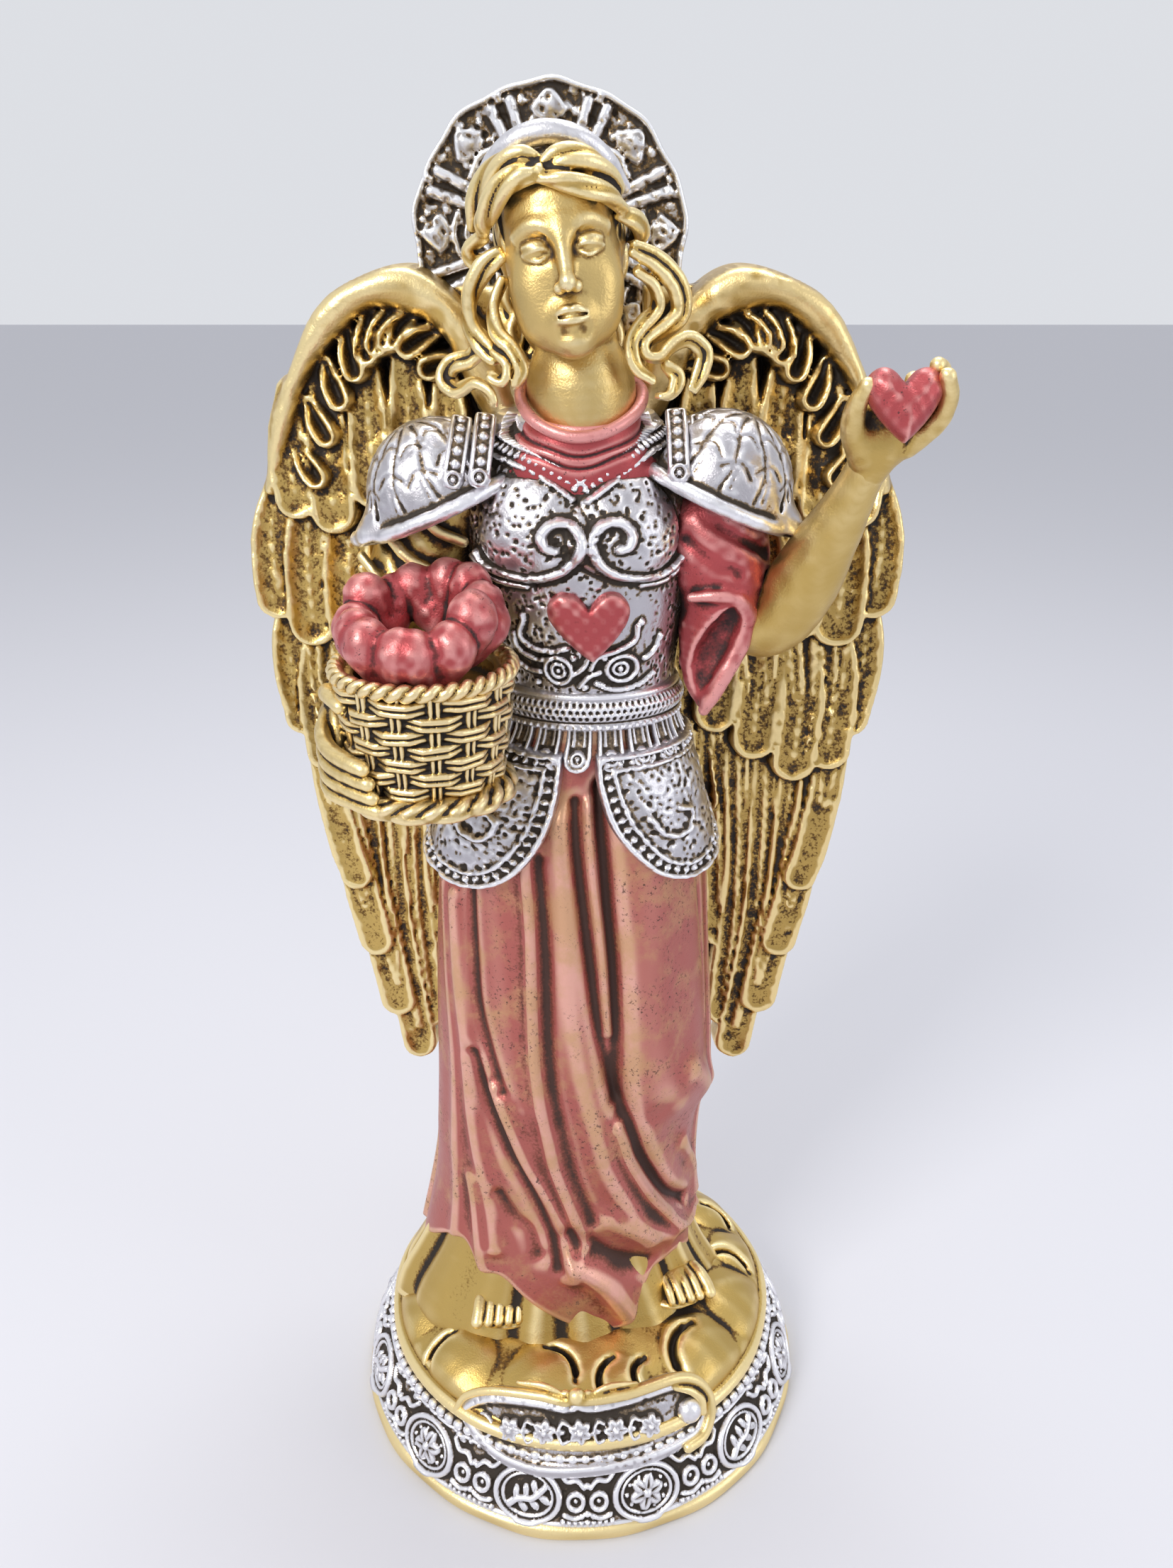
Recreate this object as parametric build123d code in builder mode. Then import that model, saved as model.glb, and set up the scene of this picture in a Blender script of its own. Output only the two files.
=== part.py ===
"""Angel figurine in cast resin: a winged figure in a cuirass and a long robe, standing on a round plinth.

It carries a basket of hearts on its right arm and lifts a heart in its left hand.
Frame: millimetres, +Z up, the figure looks along -Y, the origin is the centre of the plinth's flat underside.
Left and right are the figure's own, so its right side is at -X.
"""

import os
from math import atan2, cos, degrees, pi, radians, sin

from build123d import *

# Driving dimensions
plinth_radius = 37.2
plinth_rim_height = 2.4
band_top_radius = 32.8
band_top_z = 11.0
bead_count = 64
bead_radius = 1.1
medallion_count = 12
mound_radius = 30.4
mound_base_z = 14.4
mound_top_z = 22.0
socket_z = 18.0
skirt_x = -3.4
skirt_y = 1.0
skirt_half_width = 22.4
skirt_half_depth = 14.6
hem_z = 27.0
waist_z = 122.0
shoulder_z = 158.0
head_x = -1.2
head_y = -4.5
halo_radius = 17.4
halo_x = -3.4
halo_y = 8.0
halo_z = 182.5
basket_x = -19.2
basket_y = -16.5
basket_z = 116.6
basket_height = 17.5
basket_rim_radius = 11.0
basket_foot_radius = 9.3
wing_y = 10.0

# Section of the trunk: height, centre x, centre y, half width, half depth.
trunk_sections = [
    (waist_z, 1.2, 0.0, 11.4, 8.6),
    (130.0, 1.0, -0.4, 12.4, 9.6),
    (139.0, 0.4, -1.0, 14.0, 11.0),
    (148.0, 0.0, -0.8, 15.4, 11.4),
    (155.0, -0.4, 0.4, 14.4, 9.4),
    (shoulder_z + 2.5, -0.6, 1.6, 9.6, 6.6),
]


def solid_ellipsoid(centre, radii, turn=(0, 0, 0)):
    """A solid ellipsoid, made apart from the part in hand."""
    ball = scale(Sphere(1, mode=Mode.PRIVATE), by=radii, mode=Mode.PRIVATE)
    return Pos(*centre) * Rot(*turn) * ball


def folded_outline(rx, ry, folds, depth, phase):
    """Points of a closed outline: an ellipse whose radius swells and sinks once for each fold."""
    count = folds * 4
    points = []
    for k in range(count):
        angle = 2 * pi * k / count
        swell = 1 + depth * cos(folds * angle + phase)
        points.append((rx * swell * cos(angle), ry * swell * sin(angle)))
    return points


def tapered_limb(stations):
    """A rounded limb through (x, y, z, radius) stations, made apart: one circle square to the path at each."""
    with BuildPart(mode=Mode.PRIVATE) as limb:
        for k, (x, y, z, radius) in enumerate(stations):
            before = stations[max(k - 1, 0)]
            after = stations[min(k + 1, len(stations) - 1)]
            along = Vector(after[0] - before[0], after[1] - before[1], after[2] - before[2])
            with BuildSketch(Plane(origin=(x, y, z), z_dir=along)):
                Circle(radius)
        loft()
    return limb.part


def rolled_tube(points, radius):
    """A round bar that follows a smooth curve through the given points, made apart."""
    with BuildPart(mode=Mode.PRIVATE) as bar:
        with BuildLine() as course:
            Spline(*points)
        with BuildSketch(Plane(origin=course.line @ 0, z_dir=course.line % 0)):
            Circle(radius)
        sweep(path=course.line)
    return bar.part


def front_of_trunk(x, z, proud=0.0):
    """The point of the trunk's front at x and z, set proud of the surface along -Y."""
    rows = trunk_sections
    for (z0, x0, y0, rx0, ry0), (z1, x1, y1, rx1, ry1) in zip(rows, rows[1:]):
        if z <= z1:
            break
    t = (z - z0) / (z1 - z0)
    cx, cy, rx, ry = (a + (b - a) * t for a, b in zip((x0, y0, rx0, ry0), (x1, y1, rx1, ry1)))
    front = cy - ry * max(1 - ((x - cx) / rx) ** 2, 0.0) ** 0.5
    for side in (-1, 1):
        left = 1 - ((x - 0.2 - side * 6.2) / 7.0) ** 2 - ((z - 146.6) / 6.2) ** 2
        if left > 0:
            front = min(front, -7.6 - 4.8 * left ** 0.5)
    return (x, front - proud, z)


def plump_heart(width, height, depth, place):
    """A heart with rounded faces, made apart: two lobes that lean together and meet in a point."""
    lobes = []
    for side in (-1, 1):
        with BuildPart(mode=Mode.PRIVATE) as lobe:
            with BuildSketch(Plane.XZ.offset(-depth / 2)):
                with BuildLine():
                    edge = Spline(
                        (0, height * 0.28), (side * width * 0.27, height * 0.5),
                        (side * width * 0.5, height * 0.2),
                        (side * width * 0.27, -height * 0.2), (0, -height * 0.5),
                        tangents=[(side * 0.5, 1), (-side * 0.8, -1)],
                    )
                    Line(edge @ 1, edge @ 0)
                make_face()
            extrude(amount=depth)
        lobes.append(lobe.part)
    return place * (lobes[0] + lobes[1])


# ---------------------------------------------------------------- plinth
with BuildPart() as plinth:
    with BuildSketch(Plane.XZ):
        with BuildLine():
            rim = Polyline((0, 0), (plinth_radius, 0), (plinth_radius, plinth_rim_height),
                           (plinth_radius - 1.0, plinth_rim_height + 0.4))
            band = ThreePointArc(rim @ 1, (35.4, 7.4), (band_top_radius, band_top_z))
            Polyline(band @ 1, (band_top_radius - 0.8, band_top_z), (31.6, 12.6), (31.2, 13.8),
                     (mound_radius, mound_base_z), (0, mound_base_z), (0, 0))
        make_face()
    revolve(axis=Axis.Z)
plinth.part.label = "plinth"

with BuildPart() as bead:
    with Locations((band_top_radius - 0.4, 0, band_top_z + 0.7)):
        Sphere(bead_radius)
    add(plinth.part, mode=Mode.SUBTRACT)
with BuildPart() as bead_ring:
    with PolarLocations(0, bead_count):
        add(bead.part)
bead_ring.part.label = "bead_ring"

# Each medallion is an oval boss with a raised rim and a six-petalled flower, leaning with the band.
band_slope = degrees(atan2(plinth_radius - 1.0 - band_top_radius, band_top_z - plinth_rim_height))
medallion_face = Plane(origin=(34.5, 0, 6.9), x_dir=(0, 1, 0),
                       z_dir=(cos(radians(band_slope)), 0, sin(radians(band_slope))))
with BuildPart() as medallion:
    with BuildSketch(medallion_face.offset(-1.0)):
        Ellipse(4.6, 3.6)
    extrude(amount=2.5)
    with BuildSketch(medallion_face.offset(1.5)):
        Ellipse(3.7, 2.7)
    extrude(amount=-0.6, mode=Mode.SUBTRACT)
    with BuildSketch(medallion_face.offset(0.9)):
        Circle(1.1)
        with PolarLocations(1.6, 6):
            Circle(0.75)
    extrude(amount=0.5)
    add(plinth.part, mode=Mode.SUBTRACT)
with BuildPart() as medallions:
    with PolarLocations(0, medallion_count, start_angle=180 / medallion_count):
        add(medallion.part)
medallions.part.label = "medallions"

# ---------------------------------------------------------------- cartouche on the plinth's front
cartouche_width = 43.0
cartouche_height = 14.0
cartouche_plane = Plane(origin=(0, -31.8, 14.2), x_dir=(1, 0, 0), z_dir=(0, -1, 0.55))
with BuildPart() as cartouche:
    with BuildSketch(cartouche_plane.offset(-3.0)):
        with BuildLine():
            half = cartouche_width / 2
            high = cartouche_height / 2
            top = Spline((0, high), (9, high * 0.72), (17, high * 0.9), (half, high * 0.15),
                         tangents=[(1, 0), (-0.2, -1)])
            low = Spline(top @ 1, (17, -high * 0.78), (8, -high * 0.8), (0, -high),
                         tangents=[(-0.2, -1), (-1, 0)])
            mirror(top, about=Plane.YZ)
            mirror(low, about=Plane.YZ)
        make_face()
    extrude(amount=5.2)
    with BuildSketch(cartouche_plane.offset(2.2)):
        RectangleRounded(32, 7.2, 3.4)
    extrude(amount=-0.8, mode=Mode.SUBTRACT)
    with BuildSketch(cartouche_plane.offset(1.4)):
        with Locations((-9, 0), (0, 0), (9, 0)):
            Circle(0.9)
            with PolarLocations(1.9, 5):
                Circle(0.8)
    extrude(amount=0.6)
    add(plinth.part, mode=Mode.SUBTRACT)
    add(medallions.part, mode=Mode.SUBTRACT)
    add(bead_ring.part, mode=Mode.SUBTRACT)
cartouche.part.label = "cartouche"

# ---------------------------------------------------------------- cloud mound and feet
# Each puff of cloud as (angle round the base, distance from the axis, radius).
puffs = [(-95, 24.5, 4.6), (-68, 24.0, 4.2), (-122, 23.5, 4.4), (-42, 24.0, 4.8), (-150, 23.0, 5.0),
         (-15, 24.0, 4.6), (12, 23.5, 5.0), (45, 23.5, 4.8), (80, 24.0, 5.0), (115, 23.5, 4.8),
         (150, 23.5, 4.8), (180, 23.5, 4.6)]
with BuildPart() as cloud_mound:
    with BuildSketch(Plane.XZ):
        with BuildLine():
            flat = Line((0, mound_base_z), (mound_radius - 0.6, mound_base_z))
            dome = ThreePointArc(flat @ 1, (24.0, 19.4), (0, mound_top_z))
            Line(dome @ 1, flat @ 0)
        make_face()
    revolve(axis=Axis.Z)
    for angle, reach, radius in puffs:
        with Locations((reach * cos(radians(angle)), reach * sin(radians(angle)), mound_base_z + 2.6)):
            Sphere(radius)
    split(bisect_by=Plane.XY.offset(mound_base_z), keep=Keep.TOP)
    with BuildSketch(Plane(origin=(skirt_x, skirt_y, socket_z))):
        Ellipse(skirt_half_width, skirt_half_depth)
    extrude(amount=10, mode=Mode.SUBTRACT)
    add(cartouche.part, mode=Mode.SUBTRACT)
cloud_mound.part.label = "cloud_mound"


def foot(toe_x, toe_y, toe_z, turn, side):
    """One sandalled foot: an instep and five toes in a row, the big toe on the inner side."""
    heading = Pos(toe_x, toe_y, toe_z) * Rot(0, 0, turn)
    pieces = [heading * solid_ellipsoid((0, 4.2, 0.6), (3.7, 6.4, 2.9))]
    for k in range(5):
        size = 1.35 - 0.13 * k
        across = side * (2.7 - 1.35 * k)
        back = 0.25 * k * k * 0.5
        pieces.append(heading * solid_ellipsoid((across, back - 1.2, -0.6), (size * 0.8, size * 1.9, size)))
    return pieces


feet = {}
foot_places = {"foot_right": (-12.5, -15.3, 23.7, 8, 1), "foot_left": (17.0, -11.4, 23.4, -22, -1)}
for name, place in foot_places.items():
    with BuildPart() as feet[name]:
        for piece in foot(*place):
            add(piece)
        add(cloud_mound.part, mode=Mode.SUBTRACT)
    feet[name].part.label = name

# ---------------------------------------------------------------- skirts
# Section of the robe: height, centre x, centre y, half width, half depth, fold depth, fold phase.
robe_sections = [
    (hem_z, -4.0, 0.5, 22.8, 17.0, 0.07, 0.0),
    (41.5, -2.7, 0.5, 21.2, 15.6, 0.055, 0.5),
    (62.0, -1.2, 0.0, 21.8, 15.6, 0.045, 0.9),
    (96.0, -1.3, 0.0, 19.8, 14.6, 0.0, 1.1),
]
# Section of the hips: height, centre x, centre y, half width, half depth.
hip_sections = [
    (96.0, -1.3, 0.0, 19.8, 14.6),
    (106.0, -0.9, 0.0, 18.2, 13.6),
    (waist_z, 1.2, 0.0, 11.6, 8.8),
]
robe_folds = 11
with BuildPart() as underskirt:
    for z, rx, ry in [(socket_z, skirt_half_width, skirt_half_depth),
                      (hem_z, skirt_half_width + 0.6, skirt_half_depth + 2.0)]:
        with BuildSketch(Plane(origin=(skirt_x, skirt_y, z))):
            Ellipse(rx, ry)
    loft()
    add(cloud_mound.part, mode=Mode.SUBTRACT)
underskirt.part.label = "underskirt"

with BuildPart() as robe_hips:
    for z, x, y, rx, ry in hip_sections:
        with BuildSketch(Plane(origin=(x, y, z))):
            Ellipse(rx, ry)
    loft()
robe_hips.part.label = "robe_hips"

with BuildPart() as robe:
    for z, x, y, rx, ry, depth, phase in robe_sections:
        with BuildSketch(Plane(origin=(x, y, z))):
            with BuildLine():
                Spline(*folded_outline(rx, ry, robe_folds, depth, phase), periodic=True)
            make_face()
    loft()
robe.part.label = "robe"

# ---------------------------------------------------------------- armour of the trunk
belt_height = 4.4
torso_x = 1.2
with BuildPart() as cuirass:
    for z, x, y, rx, ry in trunk_sections:
        with BuildSketch(Plane(origin=(x, y, z))):
            Ellipse(rx, ry)
    loft()
    for side in (-1, 1):
        add(solid_ellipsoid((0.2 + side * 6.2, -7.6, 146.6), (7.0, 4.8, 6.2)))
cuirass.part.label = "cuirass"

with BuildPart() as belt:
    with BuildSketch(Plane(origin=(torso_x, 0, waist_z))):
        Ellipse(13.4, 10.6)
    extrude(amount=belt_height)
    fillet(belt.edges(), radius=1.0)
    add(cuirass.part, mode=Mode.SUBTRACT)
belt.part.label = "belt"

# Studded tabs that hang from the belt, each a rounded strip leaning out over the skirt.
tab_count = 16
tab_length = 7.0
with BuildPart() as waist_tabs:
    for k in range(tab_count):
        angle = 2 * pi * (k + 0.5) / tab_count
        x, y = 12.4 * cos(angle), 9.6 * sin(angle)
        tab_face = Plane(origin=(torso_x + x, y, waist_z - tab_length / 2 + 1.0),
                         x_dir=(-sin(angle), cos(angle), 0), z_dir=(cos(angle), sin(angle), 0.45))
        with BuildSketch(tab_face):
            RectangleRounded(4.0, tab_length, 1.6)
        extrude(amount=1.5)
        with BuildSketch(tab_face.offset(1.5)):
            with Locations((0, -1.6)):
                Circle(0.8)
        extrude(amount=0.5)
    split(bisect_by=Plane.XY.offset(waist_z), keep=Keep.BOTTOM)
    add(robe_hips.part, mode=Mode.SUBTRACT)
waist_tabs.part.label = "waist_tabs"

# Two broad rounded panels of armour lie over the hips and leave the robe's front open in a V.
lappet_top_z = 115.8
lappet_low_z = 99.6
lappets = {}
for name, side in {"lappet_right": -1, "lappet_left": 1}.items():
    with BuildPart() as lappets[name]:
        for z, x, rx, ry in [(lappet_low_z - 2, -0.9, 21.6, 16.4), (lappet_top_z, 0.6, 15.9, 12.1)]:
            with BuildSketch(Plane(origin=(x, 0, z))):
                Ellipse(rx, ry)
        loft()
        with BuildSketch(Plane.XZ):
            with BuildLine():
                inner = Spline((side * 1.6, lappet_top_z), (side * 4.6, 107.0), (side * 13.6, lappet_low_z),
                               (side * 21.5, 103.2), (side * 20.6, 110.0),
                               tangents=[(side * 0.2, -1), (-side * 0.3, 1)])
                Polyline(inner @ 1, (side * 15.5, lappet_top_z), inner @ 0)
            make_face()
        extrude(amount=20, mode=Mode.INTERSECT)
        add(robe_hips.part, mode=Mode.SUBTRACT)
    lappets[name].part.label = name

with BuildPart() as chest_heart:
    add(plump_heart(10.4, 9.8, 3.0, Pos(1.6, -11.4, 136.9)))
    add(cuirass.part, mode=Mode.SUBTRACT)
chest_heart.part.label = "chest_heart"

# Relief scrolls under each breast and beside the heart's point: a ring with a tail on each side.
scroll_radius = 0.8
with BuildPart() as cuirass_scrolls:
    for side in (-1, 1):
        curl = ((3.6, 148.8), (1.5, 146.4), (3.0, 143.4), (7.2, 141.8), (11.4, 143.4))
        add(rolled_tube([front_of_trunk(0.8 + side * across, z, 0.2) for across, z in curl], scroll_radius))
        rosette = front_of_trunk(1.6 + side * 4.4, 129.9)
        with Locations(Pos(*rosette) * Rot(90, 0, side * 20)):
            Torus(2.2, 0.7)
            Sphere(1.1)
    add(cuirass.part, mode=Mode.SUBTRACT)
    add(chest_heart.part, mode=Mode.SUBTRACT)
    add(belt.part, mode=Mode.SUBTRACT)
cuirass_scrolls.part.label = "cuirass_scrolls"

# ---------------------------------------------------------------- neck, head and hair
head_tilt = 6.0
with BuildPart() as head:
    add(tapered_limb([(0.4, -2.6, shoulder_z - 2, 6.6), (0.2, -4.0, 164.0, 5.5), (-0.3, -5.6, 171.0, 5.6)]))
    add(solid_ellipsoid((head_x, head_y - 0.6, 182.6), (8.2, 9.2, 8.6), (0, head_tilt, 0)))
    add(solid_ellipsoid((head_x + 0.4, head_y - 4.4, 177.6), (7.4, 7.4, 9.6), (0, head_tilt, 0)))
    add(solid_ellipsoid((head_x + 0.4, head_y - 11.6, 177.2), (1.4, 2.2, 3.4), (-14, head_tilt, 0)))
    add(solid_ellipsoid((head_x + 1.0, head_y - 9.4, 171.6), (3.0, 2.6, 2.4)))
    add(cuirass.part, mode=Mode.SUBTRACT)
head.part.label = "head"

with BuildPart() as tunic_collar:
    for z, x, y, rx, ry in [(153.6, 0, -2.2, 9.4, 9.4), (161.6, 0.2, -2.4, 7.2, 6.6)]:
        with BuildSketch(Plane(origin=(x, y, z))):
            Ellipse(rx, ry)
    loft()
    with Locations(Pos(0.3, -3.2, 162.0) * Rot(14, 0, 0)):
        Torus(6.6, 0.9)
    add(cuirass.part, mode=Mode.SUBTRACT)
    add(head.part, mode=Mode.SUBTRACT)
tunic_collar.part.label = "tunic_collar"

with BuildPart() as hair:
    add(solid_ellipsoid((head_x - 0.4, head_y + 1.6, 183.6), (10.6, 9.6, 9.6), (0, head_tilt, 0)))
    add(solid_ellipsoid((head_x, head_y + 3.6, 176.0), (10.2, 6.4, 10.6)))
    for side in (-1, 1):
        add(solid_ellipsoid((head_x + side * 5.0 - 0.6, head_y - 7.6, 188.4), (5.6, 3.6, 3.2),
                            (0, side * 22 + head_tilt, 0)))
    add(head.part, mode=Mode.SUBTRACT)
hair.part.label = "hair"

# A side curl leaves the temple, swings out beside the cheek and breaks into an S on the shoulder.
curl_paths = {
    "hair_curls_right": [
        [(-9.6, -7.0, 184.0), (-12.6, -8.4, 177.0), (-11.6, -9.6, 171.4), (-8.4, -10.2, 167.6),
         (-9.6, -9.4, 164.4)],
        [(-9.8, -4.6, 180.0), (-12.8, -6.0, 172.4), (-14.6, -7.4, 168.4), (-12.2, -9.0, 165.4),
         (-14.4, -8.8, 163.8)],
    ],
    "hair_curls_left": [
        [(7.4, -7.0, 183.0), (10.6, -8.4, 176.6), (9.0, -9.6, 171.6), (6.6, -9.8, 167.4),
         (9.4, -9.6, 164.8)],
        [(8.4, -4.6, 178.0), (11.2, -6.2, 171.8), (10.2, -7.6, 167.8), (13.8, -8.0, 168.6),
         (13.4, -8.6, 165.2)],
    ],
}
curls = {}
for name, paths in curl_paths.items():
    with BuildPart() as curls[name]:
        for points in paths:
            add(rolled_tube(points, 1.5))
        add(head.part, mode=Mode.SUBTRACT)
        add(hair.part, mode=Mode.SUBTRACT)
        add(tunic_collar.part, mode=Mode.SUBTRACT)
        add(cuirass.part, mode=Mode.SUBTRACT)
    curls[name].part.label = name

# A smooth band lies over the crown, between the hair and the halo.
with BuildPart() as hair_band:
    add(rolled_tube([(-11.2, -0.6, 186.4), (-8.6, -1.6, 190.6), (-3.2, -2.0, 193.0), (2.6, -1.6, 191.4),
                     (6.6, -0.6, 187.6)], 1.5))
    add(hair.part, mode=Mode.SUBTRACT)
hair_band.part.label = "hair_band"

# The halo is a shallow shell behind the head with a raised rim and leaf-shaped ribs on the rays.
halo_ribs = 13
halo_plane = Plane(origin=(halo_x, halo_y, halo_z), x_dir=(1, 0, 0), z_dir=(0, -1, 0.06))
with BuildPart() as halo:
    with BuildSketch(halo_plane.offset(-2.2)):
        Circle(halo_radius)
    extrude(amount=2.2)
    with BuildSketch(halo_plane):
        Circle(halo_radius)
        Circle(halo_radius - 1.3, mode=Mode.SUBTRACT)
    extrude(amount=0.8)
    with BuildSketch(halo_plane):
        with PolarLocations((halo_radius + 7.0) / 2, halo_ribs, start_angle=90):
            SlotOverall(halo_radius - 9.0, 2.2)
    extrude(amount=0.7)
    for body in (hair, head, hair_band):
        add(body.part, mode=Mode.SUBTRACT)
halo.part.label = "halo"

# ---------------------------------------------------------------- shoulders
# Section of a shoulder cap: height, distance from the middle, centre y, half width, half depth.
pauldrons = {}
for name, side, rise in (("pauldron_right", -1, 0.0), ("pauldron_left", 1, 1.2)):
    with BuildPart() as pauldrons[name]:
        with BuildSketch(Plane.XZ.offset(-4.5)):
            with BuildLine():
                crown = Spline((side * 10.2, 160.2 + rise), (side * 17.0, 161.4 + rise),
                               (side * 23.4, 156.8 + rise),
                               (side * 27.2, 150.4 + rise), tangents=[(side * 1.0, 0.5), (side * 0.4, -1)])
                brim = Spline(crown @ 1, (side * 21.0, 147.4 + rise), (side * 14.4, 147.6 + rise))
                Polyline(brim @ 1, (side * 11.0, 152.0 + rise), crown @ 0)
            make_face()
        extrude(amount=15.5)
        fillet(pauldrons[name].edges().filter_by(GeomType.BSPLINE), radius=1.6)
        add(cuirass.part, mode=Mode.SUBTRACT)
    pauldrons[name].part.label = name

# Two studded straps run over each shoulder and end in round clasps on the breast.
strap_radius = 1.25
straps = {}
for name, side in (("shoulder_straps_right", -1), ("shoulder_straps_left", 1)):
    with BuildPart() as straps[name]:
        for inset in (0.0, 3.6):
            x = side * (14.6 - inset)
            add(rolled_tube([(x - side * 2.2, 3.6, 161.0), (x, -4.4, 162.4), (x, -9.6, 158.8),
                             (x, -11.2, 154.8)], strap_radius))
            with Locations((x, -11.0, 154.2)):
                Sphere(1.8)
        for body in (cuirass, pauldrons[name.replace("shoulder_straps", "pauldron")], tunic_collar, hair):
            add(body.part, mode=Mode.SUBTRACT)
        for curl in curls.values():
            add(curl.part, mode=Mode.SUBTRACT)
    straps[name].part.label = name

# ---------------------------------------------------------------- the raised left arm
with BuildPart() as forearm_left:
    add(tapered_limb([(18.6, -0.6, 141.0, 4.6), (24.0, -2.6, 134.4, 5.0), (28.4, -6.0, 140.6, 5.4),
                      (32.6, -10.6, 149.6, 4.0), (34.8, -13.6, 157.0, 2.9)]))
forearm_left.part.label = "forearm_left"

hand_heart_centre = (36.8, -19.6, 164.6)
with BuildPart() as hand_heart:
    add(plump_heart(8.8, 8.6, 5.0, Pos(*hand_heart_centre) * Rot(0, 8, 0)))
hand_heart.part.label = "hand_heart"

finger_paths = [
    [(33.4, -14.4, 161.0), (32.0, -17.0, 164.4), (32.0, -18.4, 167.2)],
    [(36.4, -13.6, 162.0), (37.6, -13.6, 166.6), (38.4, -15.0, 170.2)],
    [(37.4, -13.8, 161.6), (40.0, -14.4, 165.6), (41.4, -16.0, 169.0)],
    [(37.8, -14.4, 160.6), (41.2, -15.8, 163.6), (42.4, -17.6, 166.8)],
    [(37.4, -15.4, 159.6), (40.8, -17.6, 161.8), (41.8, -19.6, 164.4)],
]
with BuildPart() as hand_left:
    add(solid_ellipsoid((35.6, -15.0, 160.2), (3.6, 3.2, 4.0), (20, 18, 0)))
    for points in finger_paths:
        add(rolled_tube(points, 1.15))
    add(forearm_left.part, mode=Mode.SUBTRACT)
    add(hand_heart.part, mode=Mode.SUBTRACT)
hand_left.part.label = "hand_left"

# The wide sleeve hangs from the shoulder to a point under the elbow, open at the front.
with BuildPart() as sleeve_left:
    for x, y, z, rx, ry in [(14.6, -2.0, 151.6, 4.4, 5.4), (18.2, -2.6, 145.0, 6.6, 6.8),
                            (19.0, -3.0, 136.0, 6.4, 7.0),
                            (17.8, -3.6, 128.0, 4.0, 4.8), (17.0, -4.0, 122.6, 1.6, 2.0)]:
        with BuildSketch(Plane(origin=(x, y, z))):
            Ellipse(rx, ry)
    loft()
    for body in (cuirass, pauldrons["pauldron_left"], forearm_left):
        add(body.part, mode=Mode.SUBTRACT)
sleeve_left.part.label = "sleeve_left"

# ---------------------------------------------------------------- the right arm under the basket
with BuildPart() as sleeve_right:
    add(tapered_limb([(-15.6, -2.0, 153.0, 5.2), (-21.0, -2.6, 145.0, 6.2), (-25.0, -1.6, 137.0, 6.0),
                      (-26.4, -2.2, 131.0, 5.4)]))
    for body in (cuirass, pauldrons["pauldron_right"]):
        add(body.part, mode=Mode.SUBTRACT)
sleeve_right.part.label = "sleeve_right"

basket_profile = [(0, 0), (basket_foot_radius, 0), (basket_foot_radius + 0.6, 0.9),
                  (basket_foot_radius, 1.9)]
strands = 6
strand_step = (basket_height - 4.0) / strands
with BuildPart() as basket_form:
    with BuildSketch(Plane.XZ):
        with BuildLine():
            wall = Polyline(*basket_profile)
            low_end = wall @ 1
            for k in range(strands):
                lean = (basket_rim_radius - basket_foot_radius) * (k + 1) / strands
                bulge = basket_foot_radius - 0.9 + lean + 0.7
                level = 1.9 + strand_step * k
                strand = ThreePointArc(low_end, (bulge, level + strand_step / 2),
                                       (basket_foot_radius - 0.9 + lean, level + strand_step))
                low_end = strand @ 1
            Polyline(low_end, (basket_rim_radius + 0.7, basket_height - 1.6),
                     (basket_rim_radius + 0.7, basket_height - 0.2),
                     (basket_rim_radius - 0.2, basket_height),
                     (basket_rim_radius - 1.4, basket_height - 0.8),
                     (basket_foot_radius - 1.6, 2.0), (0, 2.0), (0, 0))
        make_face()
    revolve(axis=Axis.Z)
    with PolarLocations(0, 14):
        with BuildSketch(Plane.XZ):
            Polygon((basket_foot_radius - 1.0, 1.5), (basket_foot_radius + 0.5, 1.5),
                    (basket_rim_radius + 0.5, basket_height - 1.2),
                    (basket_rim_radius - 1.0, basket_height - 1.2), align=None)
        extrude(amount=0.5, both=True)
with BuildPart() as basket:
    with Locations((basket_x, basket_y, basket_z)):
        add(basket_form.part)
basket.part.label = "basket"

# The hand holds the basket from the outside, four fingers laid round it one above the other.
def round_basket(angle, gap, z):
    """A point beside the basket's wall: the angle round it, the gap outside it and the height."""
    flare = (basket_rim_radius - basket_foot_radius) * (z - basket_z) / basket_height
    reach = basket_foot_radius + flare + gap
    return (basket_x + reach * cos(radians(angle)), basket_y + reach * sin(radians(angle)), z)


with BuildPart() as hand_right:
    add(tapered_limb([(-27.0, -3.6, 131.4, 4.0), (-29.0, -8.0, 127.2, 3.2),
                      round_basket(158, 2.2, 123.6) + (2.8,)]))
    for k in range(4):
        z = 127.0 - 2.5 * k
        add(rolled_tube([round_basket(160, 2.0, z - 0.4), round_basket(182, 1.5, z),
                         round_basket(206 - 4 * k, 1.0, z - 0.8)], 1.25))
    for body in (sleeve_right, basket):
        add(body.part, mode=Mode.SUBTRACT)
hand_right.part.label = "hand_right"

# The hearts are heaped in a plump ring on the basket, round a lower middle.
heap_ring_radius = 7.7
with BuildPart() as basket_hearts:
    with Locations((basket_x, basket_y, basket_z + basket_height + 3.2)):
        Torus(heap_ring_radius, 3.9)
    with Locations((basket_x, basket_y, basket_z + basket_height - 2.4)):
        Sphere(7.6)
    for body in (basket, sleeve_right, hand_right, cuirass, pauldrons["pauldron_right"]):
        add(body.part, mode=Mode.SUBTRACT)
basket_hearts.part.label = "basket_hearts"

# ---------------------------------------------------------------- wings
wing_centre_x = -1.0
wing_widths = {"right": -0.975, "left": 1.03}
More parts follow.
